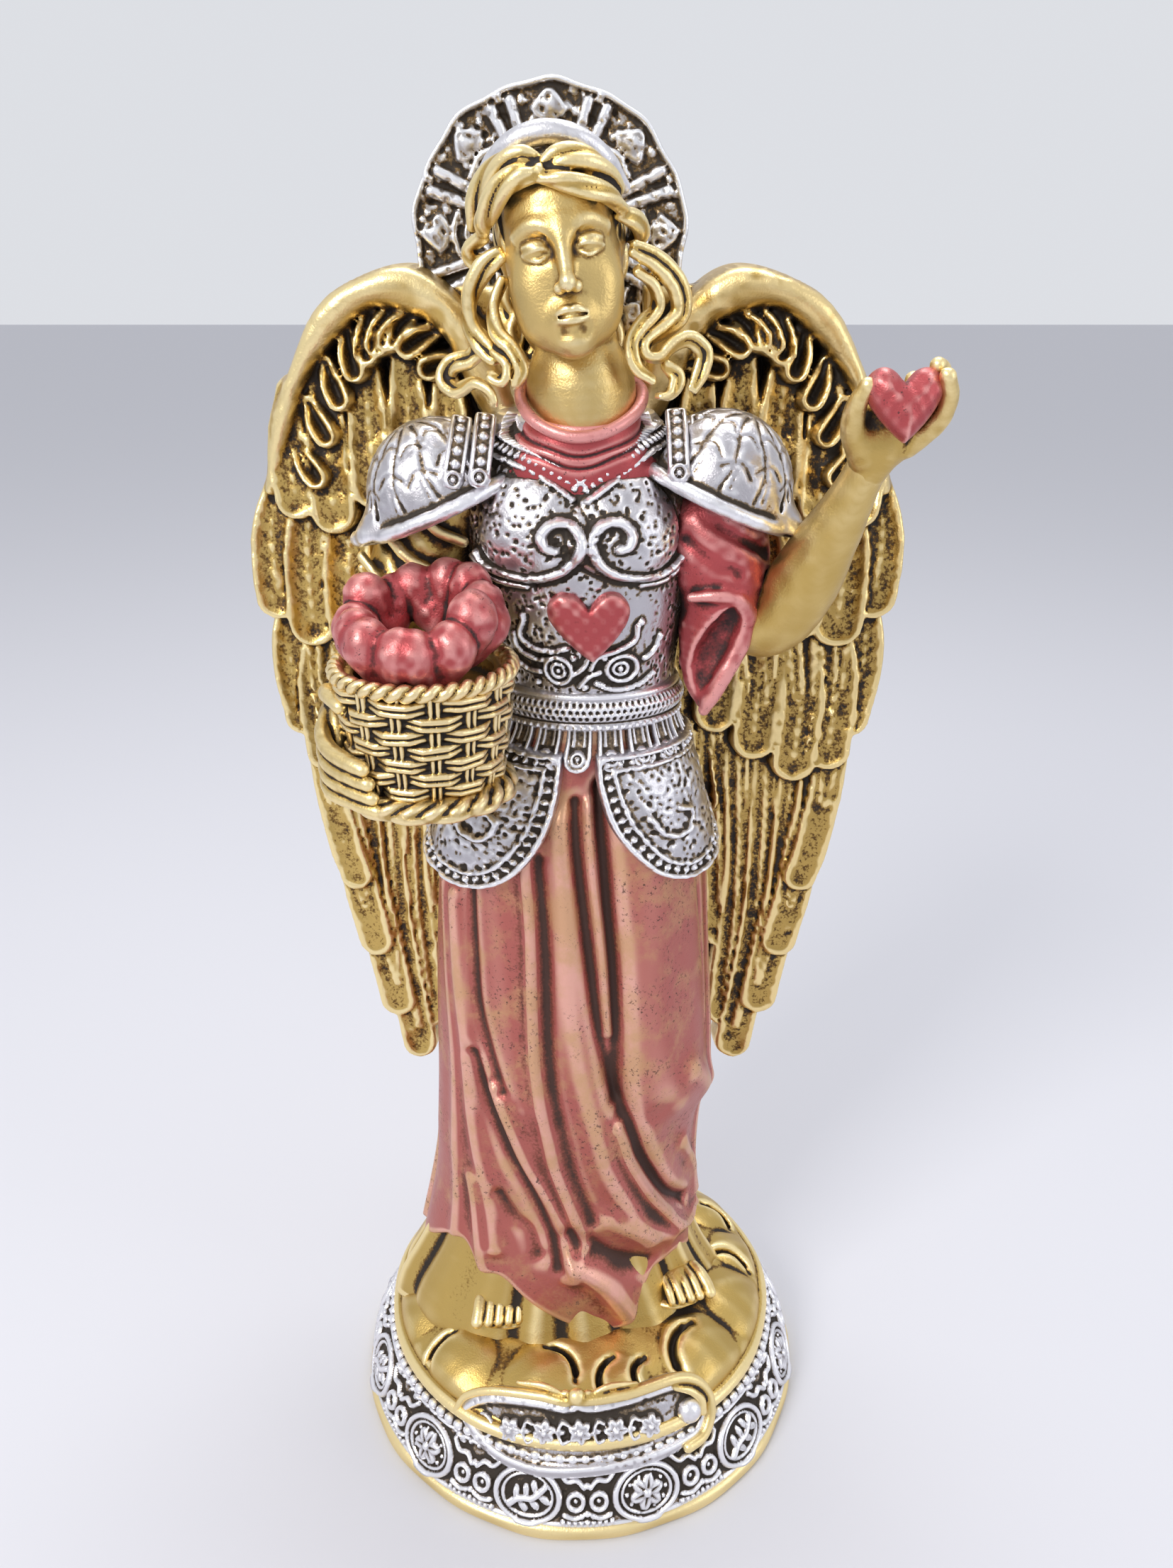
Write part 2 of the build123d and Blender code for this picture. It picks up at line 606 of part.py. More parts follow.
# Outline of one wing as (distance from the middle, height): from the root over the arch to the tip,
# then back up its inner edge, and the inner edge of the arch.
wing_outline = [(6.0, 150.0), (8.5, 166.0), (14.5, 176.0), (24.0, 179.4), (33.0, 173.6), (39.6, 163.0),
                (43.2, 149.0), (43.2, 138.0), (39.8, 116.0), (35.6, 96.0), (30.8, 74.0), (26.4, 57.4)]
wing_return = [(22.6, 59.6), (20.8, 74.0), (19.0, 92.0), (17.0, 106.0), (15.4, 118.0), (13.6, 128.0),
               (8.4, 138.0), (6.0, 150.0)]
arch_inside = [(10.5, 156.0), (14.0, 166.5), (23.5, 172.2), (30.2, 167.6), (35.4, 158.6), (38.2, 149.0),
               (38.6, 141.0)]
arch_thickness = 3.0
# Feather rows as (root distance, root height, tip distance, tip height, width).
covert_rows = [
    (12.5, 168.0, 13.0, 156.0, 5.6), (17.0, 172.0, 17.5, 157.0, 5.6), (22.0, 173.5, 21.5, 158.5, 5.6),
    (27.0, 171.5, 26.0, 157.0, 5.6), (31.5, 166.5, 30.0, 152.5, 5.8), (35.5, 160.5, 34.5, 146.5, 6.2),
    (38.5, 152.0, 39.0, 139.5, 6.6), (24.0, 160.0, 23.0, 142.5, 7.0), (29.5, 156.0, 28.5, 139.0, 7.0),
    (34.0, 149.0, 34.5, 135.0, 7.4), (17.5, 160.0, 17.0, 145.0, 7.0), (12.0, 158.0, 12.0, 146.0, 6.4),
]
primary_rows = [
    (39.0, 142.0, 39.6, 119.0, 6.2), (34.5, 142.0, 36.2, 112.5, 6.6), (29.5, 142.0, 31.8, 107.0, 6.8),
    (24.0, 145.0, 27.0, 104.0, 6.8), (19.5, 148.0, 22.4, 102.0, 6.8), (16.4, 150.0, 19.4, 106.0, 5.6),
    (36.4, 118.0, 33.6, 96.0, 6.0), (32.0, 114.0, 30.6, 82.0, 6.0), (27.6, 112.0, 28.4, 70.0, 6.0),
    (23.4, 110.0, 25.6, 62.0, 6.0),
]


def wing_point(side, across, height):
    """A point of the wing's own plane, as (x, z) in the shared frame."""
    return (wing_centre_x + wing_widths[side] * across, height)


def arch_band(side):
    """The flat band between the wing's leading edge and the arch's inner line, made apart."""
    with BuildSketch(mode=Mode.PRIVATE) as band:
        with BuildLine():
            outer = Spline(*[wing_point(side, *p) for p in wing_outline[:8]])
            inner = Spline(*[wing_point(side, *p) for p in arch_inside])
            Line(outer @ 1, inner @ 1)
            Line(outer @ 0, inner @ 0)
        make_face()
    return band.sketch


def feather_sheet(side, rows, back_y, thickness):
    """One layer of overlapping round-ended feathers, made apart, with its back face at back_y."""
    with BuildPart(mode=Mode.PRIVATE) as sheet:
        with BuildSketch(Plane.XZ.offset(-back_y)):
            for root_across, root_z, tip_across, tip_z, width in rows:
                x0, z0 = wing_point(side, root_across, root_z)
                x1, z1 = wing_point(side, tip_across, tip_z)
                length = ((x1 - x0) ** 2 + (z1 - z0) ** 2) ** 0.5
                lean = degrees(atan2(z1 - z0, x1 - x0))
                with Locations(Pos((x0 + x1) / 2, (z0 + z1) / 2) * Rot(0, 0, lean)):
                    SlotOverall(length + width / 2, width)
            add(arch_band(side), mode=Mode.SUBTRACT)
        extrude(amount=thickness)
    return sheet.part


wings, arches, coverts, primaries = {}, {}, {}, {}
for side in wing_widths:
    with BuildPart() as wings[side]:
        with BuildSketch(Plane.XZ.offset(-wing_y - 2.0)):
            with BuildLine():
                edge = Spline(*[wing_point(side, *p) for p in wing_outline])
                Spline(edge @ 1, *[wing_point(side, *p) for p in wing_return])
            make_face()
        extrude(amount=3.4)
        for body in (robe_hips, cuirass, halo):
            add(body.part, mode=Mode.SUBTRACT)
    wings[side].part.label = f"wing_{side}"
    front_y = wing_y - 1.4
    with BuildPart() as primaries[side]:
        add(feather_sheet(side, primary_rows, front_y, 1.5))
        for body in (robe_hips, cuirass):
            add(body.part, mode=Mode.SUBTRACT)
    primaries[side].part.label = f"wing_primaries_{side}"
    with BuildPart() as coverts[side]:
        add(feather_sheet(side, covert_rows, front_y - 1.5, 1.5))
        for body in (cuirass, halo):
            add(body.part, mode=Mode.SUBTRACT)
    coverts[side].part.label = f"wing_coverts_{side}"
    with BuildPart() as arches[side]:
        with BuildSketch(Plane.XZ.offset(-front_y)):
            add(arch_band(side))
        extrude(amount=arch_thickness)
        for body in (cuirass, halo):
            add(body.part, mode=Mode.SUBTRACT)
    arches[side].part.label = f"wing_arch_{side}"

os.makedirs("parts", exist_ok=True)
base_pieces = [plinth, bead_ring, medallions, cartouche, cloud_mound, *feet.values()]
dress_pieces = [underskirt, robe, robe_hips, cuirass, belt, waist_tabs, *lappets.values(), chest_heart,
                cuirass_scrolls, tunic_collar, *pauldrons.values(), *straps.values()]
head_pieces = [head, hair, *curls.values(), hair_band, halo]
arm_pieces = [forearm_left, hand_left, hand_heart, sleeve_left, sleeve_right, hand_right, basket,
              basket_hearts]
wing_pieces = [*wings.values(), *arches.values(), *coverts.values(), *primaries.values()]
for piece in base_pieces + dress_pieces + head_pieces + arm_pieces + wing_pieces:
    export_step(piece.part, f"parts/{piece.part.label}.step")
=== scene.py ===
"""Looks of the resin angel figurine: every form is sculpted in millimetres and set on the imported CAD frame.

The figure looks along -Y, so its right side is at -X. Depth grows towards the back.
"""
import math

import bpy
import numpy as np
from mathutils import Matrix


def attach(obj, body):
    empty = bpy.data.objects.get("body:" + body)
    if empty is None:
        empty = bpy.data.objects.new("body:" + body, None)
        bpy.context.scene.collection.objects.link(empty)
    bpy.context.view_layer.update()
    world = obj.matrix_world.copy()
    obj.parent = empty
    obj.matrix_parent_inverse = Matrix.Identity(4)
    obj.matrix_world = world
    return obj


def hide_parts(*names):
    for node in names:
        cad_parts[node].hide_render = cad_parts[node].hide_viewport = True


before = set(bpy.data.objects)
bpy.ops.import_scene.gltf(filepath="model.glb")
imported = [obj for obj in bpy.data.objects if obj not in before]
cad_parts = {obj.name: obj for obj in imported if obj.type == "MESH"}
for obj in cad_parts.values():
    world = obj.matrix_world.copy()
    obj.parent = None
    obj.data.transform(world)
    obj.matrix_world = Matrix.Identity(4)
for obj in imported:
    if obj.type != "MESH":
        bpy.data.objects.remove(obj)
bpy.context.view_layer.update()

import openvdb
from mathutils import Vector

MM = 0.001
FAR = 4.0
PIECES = []


# ================================================================ paths and clay
def smooth_path(points, per_span=8, closed=False):
    """Catmull-Rom curve through rows of numbers, the first three x, y and z and any others carried along."""
    p = np.array(points, float)
    if closed:
        padded = np.vstack([p[-1], p, p[0], p[1]])
    else:
        padded = np.vstack([2 * p[0] - p[1], p, 2 * p[-1] - p[-2]])
    t = np.linspace(0, 1, per_span, endpoint=False)[:, None]
    spans = []
    for a, b, c, d in zip(padded[:-3], padded[1:-2], padded[2:-1], padded[3:]):
        spans.append(0.5 * (2 * b + (c - a) * t + (2 * a - 5 * b + 4 * c - d) * t ** 2
                            + (3 * b - a - 3 * c + d) * t ** 3))
    if not closed:
        spans.append(p[-1:])
    return np.vstack(spans)


def turned(turn):
    """The rotation matrix of Euler angles in degrees, about X, then Y, then Z."""
    ax, ay, az = (math.radians(a) for a in turn)
    rx = np.array([[1, 0, 0], [0, math.cos(ax), -math.sin(ax)], [0, math.sin(ax), math.cos(ax)]])
    ry = np.array([[math.cos(ay), 0, math.sin(ay)], [0, 1, 0], [-math.sin(ay), 0, math.cos(ay)]])
    rz = np.array([[math.cos(az), -math.sin(az), 0], [math.sin(az), math.cos(az), 0], [0, 0, 1]])
    return rz @ ry @ rx


def merge_low(a, b, blend):
    """The lower of two fields, rounded where they meet over about the blend width."""
    if blend <= 0:
        return np.minimum(a, b)
    h = np.clip(0.5 + 0.5 * (b - a) / blend, 0, 1)
    return b + (a - b) * h - blend * h * (1 - h)


class Clay:
    """A block of clay: signed distance in millimetres on a regular grid, negative inside the form."""

    def __init__(self, low, high, voxel=0.3):
        self.low = np.array(low, float)
        self.voxel = voxel
        count = np.ceil((np.array(high, float) - self.low) / voxel).astype(int) + 1
        self.axes = [(self.low[k] + voxel * np.arange(count[k])).astype(np.float32) for k in range(3)]
        self.d = np.full(count, FAR, np.float32)

    def window(self, low, high):
        """The grid slices that cover a box, with the coordinates there."""
        cut = []
        for k in range(3):
            first = max(int((low[k] - self.low[k]) / self.voxel), 0)
            last = min(int((high[k] - self.low[k]) / self.voxel) + 2, len(self.axes[k]))
            cut.append(slice(first, max(last, first)))
        x = self.axes[0][cut[0]][:, None, None]
        y = self.axes[1][cut[1]][None, :, None]
        z = self.axes[2][cut[2]][None, None, :]
        return tuple(cut), x, y, z

    def join(self, cut, field, blend, carve):
        if field.size == 0:
            return
        old = self.d[cut]
        if carve:
            self.d[cut] = -merge_low(-old, field, blend)
        else:
            self.d[cut] = merge_low(old, field, blend)

    def blob(self, centre, radii, turn=(0, 0, 0), blend=1.0, carve=False):
        """An ellipsoid."""
        reach = max(radii) + blend + 1.0
        c = np.array(centre, float)
        cut, x, y, z = self.window(c - reach, c + reach)
        m = turned(turn).T.astype(np.float32)
        x, y, z = x - c[0], y - c[1], z - c[2]
        local = [m[k, 0] * x + m[k, 1] * y + m[k, 2] * z for k in range(3)]
        k0 = np.sqrt(sum((q / r) ** 2 for q, r in zip(local, radii)))
        k1 = np.sqrt(sum((q / r ** 2) ** 2 for q, r in zip(local, radii))) + 1e-6
        self.join(cut, k0 * (k0 - 1) / k1, blend, carve)

    def rope(self, points, blend=0.6, per_span=6, carve=False, closed=False):
        """A round bar through rows of x, y, z and radius."""
        path = smooth_path(points, per_span, closed)
        if closed:
            path = np.vstack([path, path[:1]])
        reach = path[:, 3].max() + blend + 1.0
        low, high = path[:, :3].min(0) - reach, path[:, :3].max(0) + reach
        cut, x, y, z = self.window(low, high)
        shape = self.d[cut].shape
        if 0 in shape:
            return
        band = np.full(shape, FAR, np.float32)
        offset = [s.start for s in cut]
        for a, b in zip(path[:-1], path[1:]):
            near = max(a[3], b[3]) + blend + 1.0
            lo, hi = np.minimum(a[:3], b[:3]) - near, np.maximum(a[:3], b[:3]) + near
            part, px, py, pz = self.window(lo, hi)
            inner = tuple(slice(s.start - o, s.stop - o) for s, o in zip(part, offset))
            along = b[:3] - a[:3]
            size = float(along @ along) + 1e-9
            qx, qy, qz = px - a[0], py - a[1], pz - a[2]
            t = np.clip((qx * along[0] + qy * along[1] + qz * along[2]) / size, 0, 1)
            d = np.sqrt((qx - along[0] * t) ** 2 + (qy - along[1] * t) ** 2 + (qz - along[2] * t) ** 2)
            d = d - (a[3] + (b[3] - a[3]) * t)
            if band[inner].shape == d.shape:
                band[inner] = np.minimum(band[inner], d)
        self.join(cut, band, blend, carve)

    def slab(self, point, normal, blend=0.5):
        """Keep only what lies behind a plane."""
        n = np.array(normal, float) / np.linalg.norm(normal)
        cut, x, y, z = self.window(self.low, self.low + 1e6)
        field = (x - point[0]) * n[0] + (y - point[1]) * n[1] + (z - point[2]) * n[2]
        self.d = -merge_low(-self.d, -field.astype(np.float32), blend)

    def swell(self, amount):
        """Grow or shrink the whole form by a field or a number."""
        self.d = self.d - amount

    def grain(self, size, depth, seed=1):
        """Uneven hand-worked skin: smooth random swelling of the given size and depth."""
        random = np.random.default_rng(seed)
        shape = [max(int(len(a) * self.voxel / size) + 3, 4) for a in self.axes]
        field = random.standard_normal(shape).astype(np.float32)
        for k in range(3):
            place = (self.axes[k] - self.low[k]) / size
            i = place.astype(int)
            t = place - i
            t = (t * t * (3 - 2 * t)).astype(np.float32)
            form = [1, 1, 1]
            form[k] = len(t)
            t = t.reshape(form)
            field = np.take(field, i, k) * (1 - t) + np.take(field, i + 1, k) * t
        self.d = self.d - depth * field

    def mesh(self):
        """The surface as points in millimetres and quads that face outwards."""
        grid = openvdb.FloatGrid(FAR)
        grid.copyFromArray(self.d)
        points, quads = grid.convertToQuads(0.0)
        return points * self.voxel + self.low, quads[:, ::-1]


# ================================================================ relief on a sheet
def dome(d, width):
    """1 in the middle, falling in a quarter circle to 0 at the width."""
    return np.sqrt(np.clip(1 - (d / width) ** 2, 0, 1))


class Relief:
    """Heights in millimetres over a flat sheet, u across and v up."""

    def __init__(self, u0, u1, v0, v1, step, wrap=False):
        self.u = np.linspace(u0, u1, int((u1 - u0) / step) + 1, endpoint=not wrap)
        self.v = np.linspace(v0, v1, int((v1 - v0) / step) + 1)
        self.wrap = (u1 - u0) if wrap else None
        self.h = np.zeros((len(self.u), len(self.v)))

    def window(self, u, v, reach_u, reach_v=None):
        reach_v = reach_u if reach_v is None else reach_v
        du = self.u - u
        if self.wrap:
            du = (du + self.wrap / 2) % self.wrap - self.wrap / 2
        i = np.nonzero(np.abs(du) <= reach_u)[0]
        j = np.nonzero(np.abs(self.v - v) <= reach_v)[0]
        return np.ix_(i, j), du[i][:, None], (self.v[j] - v)[None, :]

    def raise_to(self, where, height):
        self.h[where] = np.maximum(self.h[where], height)

    def dot(self, u, v, radius, height, squash=1.0):
        where, du, dv = self.window(u, v, radius, radius * squash)
        self.raise_to(where, height * dome(np.hypot(du, dv / squash), radius))

    def pit(self, u, v, radius, depth):
        where, du, dv = self.window(u, v, radius)
        self.h[where] -= depth * dome(np.hypot(du, dv), radius)

    def ring(self, u, v, radius, width, height, squash=1.0):
        where, du, dv = self.window(u, v, radius + width, (radius + width) * squash)
        self.raise_to(where, height * dome(np.hypot(du, dv / squash) - radius, width))

    def stroke(self, points, width, height, per_span=8, closed=False, taper=False, add=False, soft=False):
        """A raised line through (u, v) points. It can taper, add to what is there, or be a soft swelling."""
        path = smooth_path(points, per_span, closed)
        if closed:
            path = np.vstack([path, path[:1]])
        middle = (path.min(0) + path.max(0)) / 2
        reach = (path.max(0) - path.min(0)) / 2 + width * (2.5 if soft else 1.2)
        where, du, dv = self.window(middle[0], middle[1], reach[0], reach[1])
        if du.size == 0 or dv.size == 0:
            return
        best = np.full((du.shape[0], dv.shape[1]), 1e3)
        size = np.ones_like(best)
        local = path - middle
        for k, (a, b) in enumerate(zip(local[:-1], local[1:])):
            along = b - a
            t = np.clip(((du - a[0]) * along[0] + (dv - a[1]) * along[1]) / (along @ along + 1e-9), 0, 1)
            d = np.hypot(du - a[0] - along[0] * t, dv - a[1] - along[1] * t)
            scale = 1 - 0.75 * (k + t) / (len(local) - 1) if taper else 1.0
            nearer = d / scale < best
            best = np.where(nearer, d / scale, best)
            size = np.where(nearer, scale, size)
        shape = np.exp(-(best / width) ** 2) if soft else dome(best, width)
        if add:
            self.h[where] += height * size * shape
        else:
            self.raise_to(where, height * size * shape)

    def petal(self, u, v, angle, length, width, height, ridge=0.0):
        """A leaf from its root at (u, v) along the angle in degrees, with a line down its middle."""
        where, du, dv = self.window(u, v, length + width)
        c, s = math.cos(math.radians(angle)), math.sin(math.radians(angle))
        along, across = (du * c + dv * s) / length, -du * s + dv * c
        body = np.clip(along * (1 - along) * 4, 0, 1) ** 0.6 * width
        inside = (along > 0) & (along < 1)
        shape = np.where(inside, dome(across, np.maximum(body, 1e-3)), 0)
        shape = shape * (1 - ridge * np.exp(-(across / (0.18 * width)) ** 2))
        self.raise_to(where, height * shape)


# ================================================================ meshes
def grid_quads(rows, columns, wrap=False):
    """Quads over a grid of points stored row by row, the rows closing on the first if wrap is set."""
    i = np.arange(rows if wrap else rows - 1)[:, None]
    j = np.arange(columns - 1)[None, :]
    after = (i + 1) % rows
    return np.stack([i * columns + j, after * columns + j, after * columns + j + 1, i * columns + j + 1],
                    -1).reshape(-1, 4)


def lathe_solid(front, inner):
    """A closed ring from a wrapped outer grid of points and an inner grid joined to it along both rims."""
    rows, columns = front.shape[:2]
    points = np.vstack([front.reshape(-1, 3), inner.reshape(-1, 3)])
    outside = grid_quads(rows, columns, True)
    inside = grid_quads(rows, columns, True)[:, ::-1] + rows * columns
    i = np.arange(rows)
    after = (i + 1) % rows
    base = rows * columns
    low = np.stack([after * columns, i * columns, base + i * columns, base + after * columns], -1)
    e = columns - 1
    high = np.stack([i * columns + e, after * columns + e, base + after * columns + e, base + i * columns + e], -1)
    return points, np.vstack([outside, inside, low, high])


def face_normals(points, quads):
    a = points[quads[:, 2]] - points[quads[:, 0]]
    b = points[quads[:, 3]] - points[quads[:, 1]]
    return np.cross(a, b)


def vertex_normals(points, quads):
    """Unit normals at the vertices, each the mean of its faces weighted by area."""
    n = face_normals(points, quads)
    total = np.zeros_like(points)
    for k in range(3):
        total[:, k] = sum(np.bincount(quads[:, c], n[:, k], len(points)) for c in range(4))
    return total / (np.linalg.norm(total, axis=1, keepdims=True) + 1e-12)


def facing_out(points, quads):
    """The same quads, turned if the closed surface would enclose a negative volume."""
    middle = points[quads].mean(1)
    volume = (middle * face_normals(points, quads)).sum()
    return quads if volume > 0 else quads[:, ::-1]


def hollowness(points, quads, normals, rounds):
    """How deep each vertex lies under its smoothed surroundings, in millimetres."""
    edges = np.vstack([quads[:, [k, (k + 1) % 4]] for k in range(4)])
    heads, tails = np.concatenate([edges[:, 0], edges[:, 1]]), np.concatenate([edges[:, 1], edges[:, 0]])
    count = np.bincount(heads, minlength=len(points)).clip(1)
    smooth = points.copy()
    for _ in range(rounds):
        for k in range(3):
            smooth[:, k] = np.bincount(heads, smooth[tails, k], len(points)) / count
    return ((smooth - points) * normals).sum(1)


def piece(name, points, quads, slot, nodes=(), material=None, smooth=True):
    """A closed Blender mesh made from points in millimetres, riding on the body and standing for its CAD nodes."""
    quads = facing_out(points, quads)
    mesh = bpy.data.meshes.new(name)
    mesh.vertices.add(len(points))
    mesh.vertices.foreach_set("co", (points * MM).astype(np.float32).ravel())
    mesh.loops.add(quads.size)
    mesh.loops.foreach_set("vertex_index", quads.astype(np.int32).ravel())
    mesh.polygons.add(len(quads))
    mesh.polygons.foreach_set("loop_start", np.arange(0, quads.size, 4, dtype=np.int32))
    mesh.polygons.foreach_set("use_smooth", np.full(len(quads), smooth))
    mesh.update(calc_edges=True)
    mesh.validate()
    body = bpy.data.objects.new(name, mesh)
    bpy.context.scene.collection.objects.link(body)
    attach(body, "root")
    if nodes:
        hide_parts(*nodes)
    mesh.materials.append(material or FINISH[slot])
    normals = vertex_normals(points, quads)
    PIECES.append({"mesh": mesh, "points": points, "quads": quads, "normals": normals})
    mesh.attributes.new("fine", "FLOAT", "POINT").data.foreach_set(
        "value", hollowness(points, quads, normals, 6).astype(np.float32))
    mesh.attributes.new("broad", "FLOAT", "POINT").data.foreach_set(
        "value", hollowness(points, quads, normals, 45).astype(np.float32))
    return body


def box_blur(field, reach):
    """Mean over a cube of the given reach in voxels, axis by axis."""
    for axis in range(3):
        padded = np.pad(field, [(reach + 1, reach) if k == axis else (0, 0) for k in range(3)])
        total = np.cumsum(padded, axis=axis, dtype=np.float64)
        n = field.shape[axis]
        upper = np.take(total, np.arange(2 * reach + 1, 2 * reach + 1 + n), axis)
        lower = np.take(total, np.arange(0, n), axis)
        field = ((upper - lower) / (2 * reach + 1)).astype(np.float32)
    return field


def shade_crevices(voxel=0.8, reach=2, lift=1.5):
    """Write on every vertex how crowded the space just outside it is, over all the pieces together. The finishes
    paint it as shade between the pieces, and as wash pooled in the joins.
    """
    low = np.min([p["points"].min(0) for p in PIECES], axis=0) - 8
    high = np.max([p["points"].max(0) for p in PIECES], axis=0) + 8
    shape = np.ceil((high - low) / voxel).astype(int)
    solid = np.zeros(shape, np.float32)
    for p in PIECES:
        grid = openvdb.FloatGrid.createLevelSetFromPolygons(
            ((p["points"] - low) / voxel).astype(np.float32), quads=p["quads"].astype(np.uint32), halfWidth=1.5)
        dense = np.empty(shape, np.float32)
        grid.copyToArray(dense)
        solid = np.maximum(solid, np.clip(0.5 - dense, 0, 1))
    solid = box_blur(box_blur(solid, reach), reach)
    for p in PIECES:
        place = ((p["points"] + p["normals"] * lift - low) / voxel).clip(0, np.array(shape) - 1.001)
        i = place.astype(int)
        t = place - i
        value = 0
        for corner in range(8):
            bit = [(corner >> k) & 1 for k in range(3)]
            weight = np.prod([t[:, k] if bit[k] else 1 - t[:, k] for k in range(3)], axis=0)
            value = value + weight * solid[i[:, 0] + bit[0], i[:, 1] + bit[1], i[:, 2] + bit[2]]
        # this crowding darkens the colour in the finishes: painted shade between the pieces
        p["mesh"].attributes.new("occlusion_shade", "FLOAT", "POINT").data.foreach_set("value", value.astype(np.float32))


# ================================================================ finishes
def maths(tree, operation, a, b=0.0):
    n = tree.nodes.new("ShaderNodeMath")
    n.operation = operation
    for k, value in enumerate((a, b)):
        if isinstance(value, bpy.types.NodeSocket):
            tree.links.new(value, n.inputs[k])
        else:
            n.inputs[k].default_value = value
    return n.outputs[0]


def ramp(tree, value, low, high):
    """0 below low, 1 above high, smooth between."""
    n = tree.nodes.new("ShaderNodeMapRange")
    n.interpolation_type = "SMOOTHSTEP"
    n.inputs["From Min"].default_value = low
    n.inputs["From Max"].default_value = high
    tree.links.new(value, n.inputs["Value"])
    return n.outputs["Result"]


def mixed(tree, factor, a, b):
    n = tree.nodes.new("ShaderNodeMix")
    n.data_type = "RGBA"
    for key, value in (("Factor", factor), ("A", a), ("B", b)):
        socket = [s for s in n.inputs if s.name == key and s.type == ("VALUE" if key == "Factor" else "RGBA")][0]
        if isinstance(value, bpy.types.NodeSocket):
            tree.links.new(value, socket)
        else:
            socket.default_value = value if key == "Factor" else (*value, 1.0)
    return [s for s in n.outputs if s.type == "RGBA"][0]


def noise(tree, scale, detail=3.0, rough=0.55):
    """Noise in the object's own coordinates, its scale in cells per millimetre."""
    place = tree.nodes.new("ShaderNodeTexCoord").outputs["Object"]
    n = tree.nodes.new("ShaderNodeTexNoise")
    n.inputs["Scale"].default_value = scale / MM
    n.inputs["Detail"].default_value = detail
    n.inputs["Roughness"].default_value = rough
    tree.links.new(place, n.inputs["Vector"])
    return n.outputs["Fac"]


def attribute(tree, name):
    n = tree.nodes.new("ShaderNodeAttribute")
    n.attribute_name = name
    return n.outputs["Fac"]


